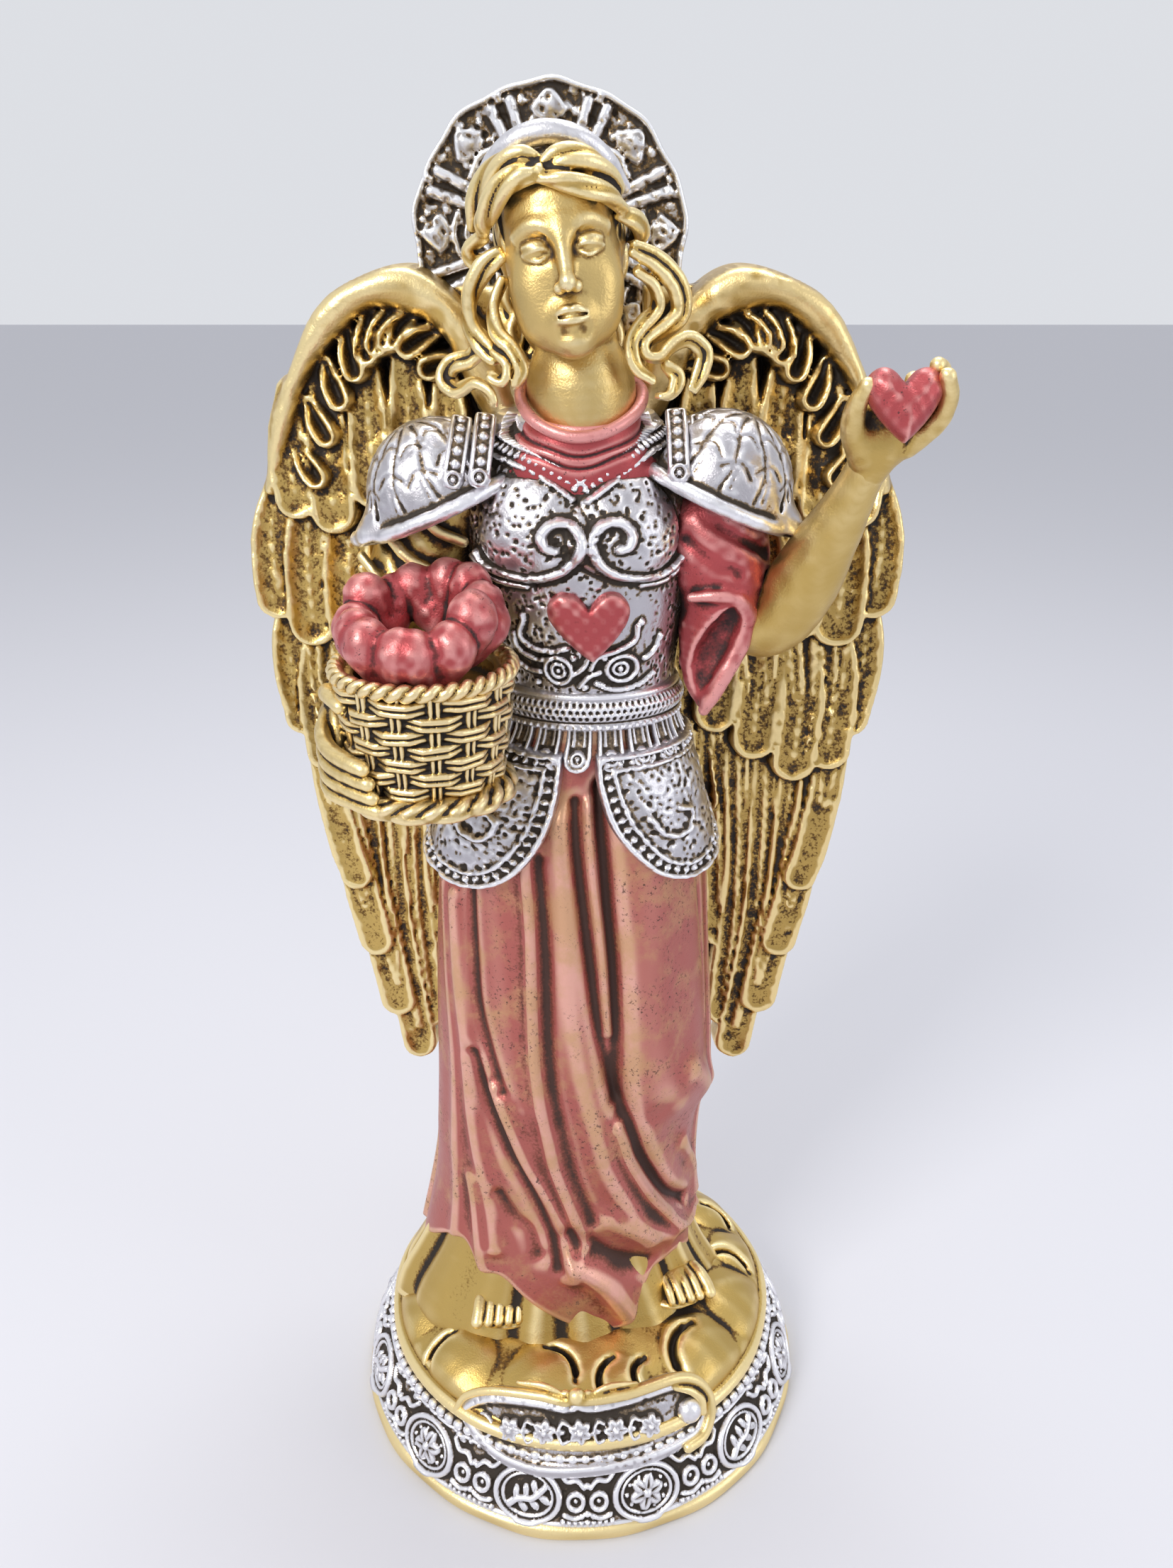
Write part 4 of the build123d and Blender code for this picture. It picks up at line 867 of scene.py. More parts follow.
    # the left wing takes the darker copy of the wing gold: painted shade on that side
    return piece(f"wing_{side}_feathered", points, quads, "antique_gold",
                 (f"wing_{side}", f"wing_arch_{side}", f"wing_coverts_{side}", f"wing_primaries_{side}"),
                 WING_GOLD if side == "right" else WING_GOLD_SHADED)


# ================================================================ slabs with relief
def outline_field(outline, u, v):
    """Signed distance in the plane to a closed outline, negative inside, over the grid u by v."""
    pu, pv = u[:, None], v[None, :]
    best = np.full((len(u), len(v)), 1e3)
    inside = np.zeros(best.shape, bool)
    for p, q in zip(outline, np.roll(outline, -1, 0)):
        along = q - p
        t = np.clip(((pu - p[0]) * along[0] + (pv - p[1]) * along[1]) / (along @ along + 1e-12), 0, 1)
        best = np.minimum(best, np.hypot(pu - p[0] - along[0] * t, pv - p[1] - along[1] * t))
        if p[1] != q[1]:
            crossing = ((p[1] > pv) != (q[1] > pv)) & (pu < (q[0] - p[0]) * (pv - p[1]) / (q[1] - p[1]) + p[0])
            inside ^= crossing
    return np.where(inside, -best, best)


def sampled(relief, field, u, v):
    """A field over the relief's sheet, read at other u and v."""
    i = np.interp(u, relief.u, np.arange(len(relief.u))).clip(0, len(relief.u) - 1.001)
    j = np.interp(v, relief.v, np.arange(len(relief.v))).clip(0, len(relief.v) - 1.001)
    s, t = (i % 1)[:, None], (j % 1)[None, :]
    i, j = i.astype(int)[:, None], j.astype(int)[None, :]
    low = field[i, j] * (1 - s) + field[i + 1, j] * s
    high = field[i, j + 1] * (1 - s) + field[i + 1, j + 1] * s
    return low * (1 - t) + high * t


def slab(relief, edge, depth, blend=0.8, voxel=0.25, back=None):
    """A plate in its own u, v, w: the relief in front at w above 0, flat or shaped behind, cut by the edge field."""
    back = np.full_like(relief.h, -depth) if back is None else back
    low = (relief.u[0], relief.v[0], min(float(back.min()), float(relief.h.min())) - 0.8)
    high = (relief.u[-1], relief.v[-1], float(relief.h.max()) + 0.8)
    clay = Clay(low, high, voxel)
    gu, gv = np.gradient(relief.h, relief.u, relief.v)
    steep = np.sqrt(1 + np.minimum(gu ** 2 + gv ** 2, 5.0))
    u, v, w = clay.axes[0], clay.axes[1], clay.axes[2][None, None, :]
    front = (w - sampled(relief, relief.h, u, v)[..., None]) / sampled(relief, steep, u, v)[..., None]
    d = np.maximum(front, sampled(relief, back, u, v)[..., None] - w)
    d = -merge_low(-d, -sampled(relief, edge, u, v)[..., None], blend)
    clay.d = np.clip(d, -FAR, FAR).astype(np.float32)
    return clay.mesh()


def placed(points, origin, across, up, bend=0.0, curl=0.0):
    """Points of a slab set in the figure: u along across, v along up, and w square to both.

    bend and curl are the curvatures in 1/mm, about the up and across lines, that turn the edges back.
    """
    across = np.array(across, float) / np.linalg.norm(across)
    out = np.cross(across, up)
    out = out / np.linalg.norm(out)
    up = np.cross(out, across)
    u, v, w = points[:, 0], points[:, 1], points[:, 2]
    for_u = np.sin(u * bend) * (1 / bend + w) if abs(bend) > 1e-6 else u
    drop = (1 - np.cos(u * bend)) * (1 / bend + w) if abs(bend) > 1e-6 else 0 * u
    for_v = np.sin(v * curl) * (1 / curl + w) if abs(curl) > 1e-6 else v
    drop = drop + ((1 - np.cos(v * curl)) * (1 / curl + w) if abs(curl) > 1e-6 else 0)
    return np.array(origin) + for_u[:, None] * across + for_v[:, None] * up + (w - drop)[:, None] * out


def along_outline(outline, count, inset=0.0):
    """Points spread evenly along a closed outline, moved inwards by the inset."""
    loop = np.vstack([outline, outline[:1]])
    far = np.concatenate([[0], np.cumsum(np.linalg.norm(np.diff(loop, axis=0), axis=1))])
    place = np.linspace(0, far[-1], count, endpoint=False)
    points = np.stack([np.interp(place, far, loop[:, k]) for k in range(2)], 1)
    ahead = np.roll(points, -1, 0) - np.roll(points, 1, 0)
    ahead = ahead / (np.linalg.norm(ahead, axis=1, keepdims=True) + 1e-9)
    turn = (loop[:-1, 0] * loop[1:, 1] - loop[1:, 0] * loop[:-1, 1]).sum()
    side = np.stack([-ahead[:, 1], ahead[:, 0]], 1) * (1 if turn > 0 else -1)
    return points + side * inset


def rosette(relief, u, v, radius, height, petals=6, spin=0.0):
    """A flower: petals round a bead."""
    for k in range(petals):
        relief.petal(u, v, spin + 360.0 * k / petals, radius, radius * 0.42, height, 0.35)
    relief.dot(u, v, radius * 0.32, height * 1.3)


# ================================================================ base
BAND_R = 35.0


def ring_of(profile, relief, thick=3.0):
    """A closed ring: relief laid on a turned profile of (radius, z) rows, u the angle in degrees, v the way along."""
    path = smooth_path(profile, 12)
    far = np.concatenate([[0], np.cumsum(np.linalg.norm(np.diff(path, axis=0), axis=1))])
    far = far / far[-1] * relief.v[-1]
    r, z = np.interp(relief.v, far, path[:, 0]), np.interp(relief.v, far, path[:, 1])
    slope = np.stack([np.gradient(z), -np.gradient(r)], 1)
    slope = slope / np.linalg.norm(slope, axis=1, keepdims=True)
    angle = np.radians(relief.u)[:, None]
    radius = r[None, :] + slope[None, :, 0] * relief.h
    height = z[None, :] + slope[None, :, 1] * relief.h
    front = np.stack([radius * np.cos(angle), radius * np.sin(angle), height], -1)
    inner = np.stack([(r[None, :] - thick) * np.cos(angle), (r[None, :] - thick) * np.sin(angle),
                      np.broadcast_to(z[None, :], radius.shape)], -1)
    return lathe_solid(front, inner)


def make_plinth():
    profile = [(36.0, 0.0), (36.7, 0.05), (37.1, 0.6), (37.15, 1.4), (36.8, 2.1), (36.0, 2.5)]
    rim = Relief(-180, 180, 0, 4.0, 0.25, wrap=True)
    rim.u = np.linspace(-180, 180, 480, endpoint=False)
    rim.h = np.zeros((480, len(rim.v)))
    angle = np.radians(rim.u)[:, None]
    rim.h += 0.12 * np.sin(7 * angle + 1) + 0.08 * np.sin(17 * angle)
    points, quads = ring_of(profile, rim, 4.0)
    piece("plinth_rim", points, quads, "antique_gold", ("plinth",))
    # a solid foot inside the rim carries the mound
    foot = [(0.4, 0.0), (33.0, 0.0), (33.0, 1.0), (31.2, 14.6), (0.4, 14.6)]
    turn = np.linspace(0, 2 * math.pi, 96, endpoint=False)[:, None]
    r = np.array([p[0] for p in foot])[None, :]
    z = np.array([p[1] for p in foot])[None, :]
    front = np.stack([r * np.cos(turn), r * np.sin(turn), np.broadcast_to(z, (96, 5))], -1)
    points, quads = capped(front)
    piece("plinth_core", points, quads, "antique_gold", ("plinth",), smooth=False)


def make_band():
    """The silver filigree band: twelve oval medallions with flowers and, between them, pairs of little rings."""
    per = BAND_R * math.pi / 180
    sheet = Relief(-180 * per, 180 * per, 0, 9.6, 0.22, wrap=True)
    random = np.random.default_rng(5)
    for _ in range(1500):
        sheet.pit(random.uniform(-180, 180) * per, random.uniform(0.6, 9.2), random.uniform(0.18, 0.4), 0.25)
    pitch = 30 * per
    for k in range(12):
        u = (-90 - 13 + 30 * k + 180) % 360 - 180
        u = u * per
        sheet.ring(u, 4.5, 4.9, 0.55, 1.0, 0.80)
        sheet.ring(u, 4.5, 3.9, 0.32, 0.7, 0.80)
        if k % 2:
            rosette(sheet, u, 4.5, 2.7, 1.0, 6, 15)
            for t in range(10):
                angle = 2 * math.pi * t / 10
                sheet.dot(u + 3.1 * math.cos(angle), 4.5 + 2.45 * math.sin(angle), 0.36, 0.6)
        else:
            sheet.stroke([(u - 2.6, 2.8), (u - 1.2, 4.0), (u + 0.9, 4.4), (u + 2.6, 6.0)], 0.6, 1.05)
            for t, (a, b, angle) in enumerate(((-1.6, 3.6, 95), (0.0, 4.2, 100), (1.4, 4.9, 110),
                                               (-1.2, 3.7, -50), (0.4, 4.2, -45), (1.8, 4.8, -30))):
                sheet.petal(u + a, 4.5 + (b - 4.5), angle, 2.1, 0.62, 0.95, 0.3)
        # the field between two medallions
        w = u + pitch / 2
        for side in (-1, 1):
            sheet.ring(w + side * 1.75, 4.3, 1.15, 0.42, 0.95)
            sheet.dot(w + side * 1.75, 4.3, 0.45, 0.45)
            sheet.stroke([(w + side * 0.5, 6.3), (w + side * 1.6, 7.3), (w + side * 3.2, 7.2), (w + side * 4.4, 8.4)],
                         0.42, 0.9)
            sheet.stroke([(w + side * 0.6, 2.2), (w + side * 1.9, 1.7), (w + side * 3.4, 2.1)], 0.36, 0.8)
            sheet.petal(w + side * 2.6, 8.4, 90 + side * -60, 2.0, 0.55, 0.75, 0.3)
        sheet.dot(w, 6.6, 0.55, 0.95)
        sheet.dot(w, 2.4, 0.5, 0.85)
        for t in range(9):
            sheet.dot(w - 3.6 + 0.9 * t, 0.95, 0.4, 0.7)
            sheet.dot(w - 3.2 + 0.8 * t, 1.75 if t % 2 else 8.9, 0.34, 0.6)
    sheet.h += 0.5 * np.exp(-((sheet.v - 0.35) / 0.25) ** 2)[None, :]
    sheet.h += 0.6 * np.exp(-((sheet.v - 9.25) / 0.3) ** 2)[None, :]
    sheet.u = sheet.u / per
    profile = [(36.2, 2.2), (35.9, 3.6), (35.2, 6.0), (34.0, 8.6), (32.4, 11.2)]
    points, quads = ring_of(profile, sheet, 3.2)
    piece("filigree_band", points, quads, "antique_silver", ("medallions",))
    beads = Relief(-180, 180, 0, 3.4, 0.16, wrap=True)
    per = 32.8 * math.pi / 180
    beads.u = np.linspace(-180 * per, 180 * per, 1280, endpoint=False)
    beads.wrap = 360 * per
    beads.h = np.zeros((1280, len(beads.v)))
    for k in range(106):
        beads.dot((-180 + 360 * k / 106) * per, 1.7 + random.uniform(-0.06, 0.06), 0.98 + random.uniform(-0.05, 0.05),
                  1.0)
    beads.u = beads.u / per
    points, quads = ring_of([(32.6, 10.7), (32.3, 11.8), (31.6, 13.3)], beads, 2.4)
    piece("bead_row", points, quads, "antique_silver", ("bead_ring",))


PUFFS = [(-19.5, -19.5, 6.6, 2.2), (-6.0, -24.2, 6.2, 2.0), (6.5, -24.6, 4.8, 1.4), (19.6, -18.4, 7.0, 2.8),
         (26.4, -7.0, 6.4, 2.4), (-27.0, -8.5, 5.6, 2.2), (-28.0, 4.0, 5.6, 1.9), (-23.5, 16.0, 6.4, 2.2),
         (-12.5, 24.0, 6.6, 2.0),
         (1.5, 26.2, 6.4, 2.2), (14.0, 23.2, 6.2, 2.0), (23.5, 14.6, 6.6, 2.3), (27.6, 4.0, 5.0, 1.8)]
CRESCENTS = [(-19.8, -20.0, 5.0, 95, 205, 1.0), (-5.0, -23.6, 4.4, -10, 95, 0.9), (6.4, -24.0, 3.4, 110, 215, 0.9),
             (11.2, -23.0, 2.8, 110, 230, 0.8), (19.8, -18.8, 5.0, 110, 225, 1.3), (25.4, -1.4, 4.2, 20, 150, 1.0),
             (-24.2, 15.4, 4.8, 40, 150, 0.9), (-11.4, 22.6, 4.6, 60, 180, 0.9), (3.4, 24.8, 4.4, 0, 120, 0.9),
             (16.0, 22.0, 4.4, 20, 130, 0.9), (-26.4, -3.2, 3.4, 60, 190, 0.7), (23.0, 10.0, 4.0, 0, 100, 0.9)]


def make_mound():
    sheet = Relief(-33, 33, -33, 33, 0.33)
    x, y = sheet.u[:, None], sheet.v[None, :]
    r = np.hypot(x, y)
    sheet.h = 14.4 + 8.2 * np.sqrt(np.clip(1 - (r / 31.6) ** 2, 0, 1)) ** 1.15
    for cx, cy, radius, height in PUFFS:
        where, du, dv = sheet.window(cx, cy, radius)
        sheet.h[where] += 0.62 * height * np.clip(1 - (du ** 2 + dv ** 2) / radius ** 2, 0, 1) ** 1.05
    for cx, cy, radius, start, end, width in CRESCENTS:
        turn = np.radians(np.linspace(start, end, 7))
        line = np.stack([cx + radius * np.cos(turn), cy + radius * np.sin(turn)], 1)
        middle = slice(1, 6)
        sheet.stroke(line, width * 0.5, -0.7, add=True, soft=True)
        sheet.stroke(line[middle], width * 0.5, -1.3, add=True, soft=True)
    sheet.h += 0.10 * np.sin(x * 0.9 + np.sin(y * 0.7)) * np.cos(y * 0.8)
    edge = r - 31.2
    points, quads = slab(sheet, edge, 0, 1.2, 0.33, np.full_like(sheet.h, 13.2))
    piece("cloud", points, quads, "antique_gold", ("cloud_mound",))
    # two smooth rolls round the top of the plinth
    clay = Clay((-34, -34, 11.5), (34, 34, 16.5), 0.34)
    for radius, z, girth in ((31.3, 14.0, 1.15), (30.0, 14.9, 0.9)):
        turn = np.linspace(0, 2 * math.pi, 40, endpoint=False)
        uneven = 0.12 * np.sin(5 * turn) + 0.08 * np.sin(9 * turn + 1)
        rows = np.stack([(radius + uneven) * np.cos(turn), (radius + uneven) * np.sin(turn), z + uneven,
                         girth + 0 * turn], 1)
        clay.rope(rows, 0.3, 4, closed=True)
    piece("plinth_rolls", *clay.mesh(), "antique_gold", ("plinth",))


PLATE = [(-20.5, 1.4), (-18.3, 4.2), (-13.4, 5.8), (-6.6, 5.9), (-2.2, 5.3), (-0.6, 6.3), (1.2, 5.4), (6.8, 6.2),
         (14.0, 7.5),
         (18.0, 6.7), (20.8, 3.8), (21.3, 0.6), (19.8, -2.4), (16.7, -3.8), (11.3, -5.1), (2.3, -6.3), (-6.6, -6.6),
         (-13.4, -5.1), (-17.9, -2.2)]
PLATE_AT = ((0.3, -31.0, 15.6), (1, 0, 0), (0, 0.47, 0.883))


def make_cartouche():
    outline = smooth_path(PLATE, 6, closed=True)
    sheet = Relief(-23, 23, -9, 9.4, 0.2)
    edge = outline_field(outline, sheet.u, sheet.v)
    sheet.h = 0.9 * np.clip(-edge / 2.0, 0, 1) ** 0.5
    sheet.h -= 0.9 * np.clip((-edge - 1.7) / 0.7, 0, 1)
    random = np.random.default_rng(9)
    for _ in range(260):
        sheet.pit(random.uniform(-17, 17), random.uniform(-5, 5), random.uniform(0.2, 0.45), 0.16)
    for k in range(4):
        level = -3.6 - 0.55 * k
        sheet.stroke([(-13.5 + k, level + 1.3), (-6, level), (2, level + 0.1), (11 - k, level + 1.5)], 0.2, 0.35)
    # a band of sprigs and rosettes, the plate's generic ornament
    for k in range(5):
        u, v = -11.0 + 5.4 * k, 0.2 + 0.16 * k
        rosette(sheet, u, v, 1.9, 1.15, 6, 20 * k)
        if k < 4:
            for side in (-1, 1):
                sheet.stroke([(u + 2.0, v), (u + 2.7, v + side * 1.5), (u + 3.6, v + side * 1.2)], 0.36, 0.95)
            sheet.dot(u + 2.75, v + 0.05, 0.5, 0.9)
    for side in (-1, 1):
        sheet.stroke([(-13.4, 0.1), (-15.2, side * 1.6), (-17.2, 0.8 + side * 0.5)], 0.4, 0.9, taper=True)
    # a rounded scroll fills the right end
    sheet.dot(17.4, 2.0, 2.1, 2.0)
    points, quads = slab(sheet, edge, 1.8, 0.7, 0.25)
    points = placed(points, *PLATE_AT, bend=1 / 34.0)
    piece("plate_face", points, quads, "antique_silver", ("cartouche",))
    frame_line = [(-20.4, 1.5), (-18.3, 4.1), (-13.4, 5.7), (-6.6, 5.8), (-2.6, 5.2), (-1.2, 5.5), (1.2, 5.4),
                  (6.8, 6.0),
                  (14.0, 7.3), (18.0, 6.5), (20.6, 3.7), (21.0, 0.6), (19.6, -2.1), (16.9, -3.3)]
    clay = Clay((-23, -9, -2.5), (23, 9.5, 3.2), 0.25)
    clay.rope([(u, v, 0.7, 0.55 + 0.35 * min(k, 5) / 5) for k, (u, v) in enumerate(frame_line)], 0.3, 6)
    clay.rope([(14.6, 6.0, 0.9, 0.5), (17.0, 5.2, 1.1, 0.6), (18.9, 3.6, 1.2, 0.65), (19.3, 1.6, 1.2, 0.6)], 0.5, 6)
    clay.blob((-0.7, 6.0, 0.9), (1.25, 1.25, 1.1), blend=0.3)
    for side in (-1, 1):
        clay.blob((-0.7 + side * 1.6, 6.3, 0.6), (0.6, 0.6, 0.7), blend=0.2)
        clay.rope([(-0.7 + side * 2.2, 6.2, 0.7, 0.4), (-0.7 + side * 5.0, 7.3, 0.7, 0.5),
                   (-0.7 + side * 9.0, 7.3, 0.4, 0.35)], 0.4, 6)
    points, quads = clay.mesh()
    points = placed(points, *PLATE_AT, bend=1 / 34.0)
    piece("plate_frame", points, quads, "antique_gold", ("cartouche",))


# ================================================================ feet and underskirt
def make_foot(side, x, y, z, turn, flip):
    clay = Clay((x - 8, y - 8, z - 5), (x + 8, y + 9, z + 5), 0.25)
    c, s = math.cos(math.radians(turn)), math.sin(math.radians(turn))

    def at(u, v, w):
        return (x + u * c - v * s, y + u * s + v * c, z + w)

    clay.blob(at(0, 4.2, -0.3), (4.4, 5.0, 2.4), (0, 0, turn))
    clay.blob(at(0, 0.6, -1.6), (4.9, 2.8, 1.0), (0, 0, turn), 0.4)
    for k, length in enumerate((2.6, 2.4, 2.1, 1.8, 1.4)):
        u = flip * (-3.3 + 1.55 * k + (0.0 if k else -0.15))
        girth = (1.05, 0.82, 0.78, 0.72, 0.66)[k]
        root, knuckle, tip = at(u * 0.92, 2.4, 1.15), at(u, 0.2, 0.8 - 0.1 * k), at(u * 1.02, 0.4 - length, -0.75)
        clay.rope([(*root, girth * 0.9), (*knuckle, girth), (*tip, girth * 0.95)], 0.18, 6)
    clay.grain(1.6, 0.05, 3)
    piece(f"toes_{side}", *clay.mesh(), "antique_gold", (f"foot_{side}",))


SKIRT = [(16.5, -3.4, 0.6, 27.4, 20.2), (19.5, -3.6, 0.6, 26.6, 19.4), (22.0, -3.8, 0.6, 25.4, 18.2),
         (25.0, -3.8, 0.6, 23.8, 16.8),
         (29.0, -3.6, 0.6, 22.0, 15.4), (33.0, -3.4, 0.6, 20.6, 14.4), (40.0, -3.0, 0.6, 18.8, 13.4)]


def make_underskirt():
    relief = Relief(-180, 180, 16.5, 40.0, 1.0, wrap=True)
    relief.u = np.linspace(-180, 180, 420, endpoint=False)
    relief.v = np.linspace(16.5, 40.0, 84) * 3.0
    relief.h = np.zeros((420, 84))
    for u0, u1, width, height in ((-96, -97, 4.2, 0.8), (-90, -88, 3.4, -0.5), (-82, -80, 4.2, 0.6),
                                  (-106, -106, 3.4, -0.6),
                                  (-118, -119, 7.0, 0.5), (-138, -142, 8.0, 0.5), (-154, -158, 4.0, -0.8),
                                  (-166, -169, 4.6, 1.3),
                                  (-178, -179, 3.0, -1.1), (-70, -68, 3.6, -0.6), (-56, -52, 5.0, 0.6),
                                  (-40, -38, 3.4, -0.7),
                                  (-28, -25, 4.4, 0.8), (-14, -12, 3.4, -0.9), (2, 3, 4.4, 1.0), (18, 19, 3.4, -1.0),
                                  (33, 35, 4.0, 1.0), (50, 51, 3.4, -1.0), (66, 68, 4.2, 1.0), (84, 84, 3.4, -1.0),
                                  (100, 100, 4.0, 1.1), (118, 117, 3.4, -1.0), (134, 136, 4.2, 1.1),
                                  (152, 152, 3.4, -1.0)):
        line = [(u0, 40 * 3), (u0 * 0.6 + u1 * 0.4, 31 * 3), (u1, 23 * 3), (u1, 16.5 * 3)]
        relief.stroke(line, width, height, add=True, soft=True)
    relief.h *= np.clip((40.5 - relief.v / 3.0) / 12.0, 0.2, 0.9)[None, :]
    body = wrapped_body(SKIRT, scaled(relief, 3.0))
    piece("underskirt_cloth", *capped(body), "antique_gold", ("underskirt",))


# ================================================================ trunk
TRUNK = [(119.0, 1.2, 0.0, 11.2, 8.6), (122.0, 1.2, 0.0, 11.4, 8.8), (130.0, 1.0, -0.4, 12.4, 9.8),
         (139.0, 0.4, -1.0, 14.0, 11.0),
         (148.0, 0.0, -0.8, 15.2, 11.2), (155.0, -0.4, -0.2, 14.4, 10.2), (160.0, -0.4, -1.0, 11.6, 8.8),
         (163.0, 0.0, -2.4, 8.8, 7.4)]
TRUNK_ROUND = 0.236


def on_trunk(x, z, front=True, sections=TRUNK):
    """Where the point at x and z lies on the sheet wrapped round a body, as (millimetres round, height)."""
    cx, _, rx, _ = section_at(sections, z)
    angle = math.degrees(math.acos(max(-1, min(1, (x - cx) / rx))))
    return ((-angle if front else angle) * TRUNK_ROUND, z)


def wrapped(points, sections, lift=0.0):
    """Points of a slab laid on a body: u in millimetres round it, v its height, w outwards."""
    cx, cy, rx, ry = section_at(sections, points[:, 1])
    angle = np.radians(points[:, 0] / TRUNK_ROUND)
    n = np.stack([np.cos(angle) * ry, np.sin(angle) * rx], 1)
    n = n / np.linalg.norm(n, axis=1, keepdims=True)
    w = points[:, 2] + lift
    return np.stack([cx + rx * np.cos(angle) + n[:, 0] * w, cy + ry * np.sin(angle) + n[:, 1] * w, points[:, 1]], 1)


def trunk_line(rows, front=True, sections=TRUNK):
    return [on_trunk(x, z, front, sections) for x, z in rows]


def double_trim(sheet, rows, gap=0.62, bead=0.42, height=0.85, spacing=1.05):
    """Two fine rolled lines with a row of beads between them."""
    path = smooth_path(rows, 16)
    far = np.concatenate([[0], np.cumsum(np.linalg.norm(np.diff(path, axis=0), axis=1))])
    place = np.linspace(0, far[-1], max(int(far[-1] / 0.8), 4))
    line = np.stack([np.interp(place, far, path[:, k]) for k in range(2)], 1)
    ahead = np.gradient(line, axis=0)
    ahead = ahead / (np.linalg.norm(ahead, axis=1, keepdims=True) + 1e-9)
    side = np.stack([-ahead[:, 1], ahead[:, 0]], 1)
    for sign in (-1, 1):
        sheet.stroke([tuple(p) for p in line + side * sign * (gap + bead)], 0.34, height * 0.8, per_span=2)
    for s in np.arange(0, far[-1], spacing):
        sheet.dot(np.interp(s, far, path[:, 0]), np.interp(s, far, path[:, 1]), bead, height)


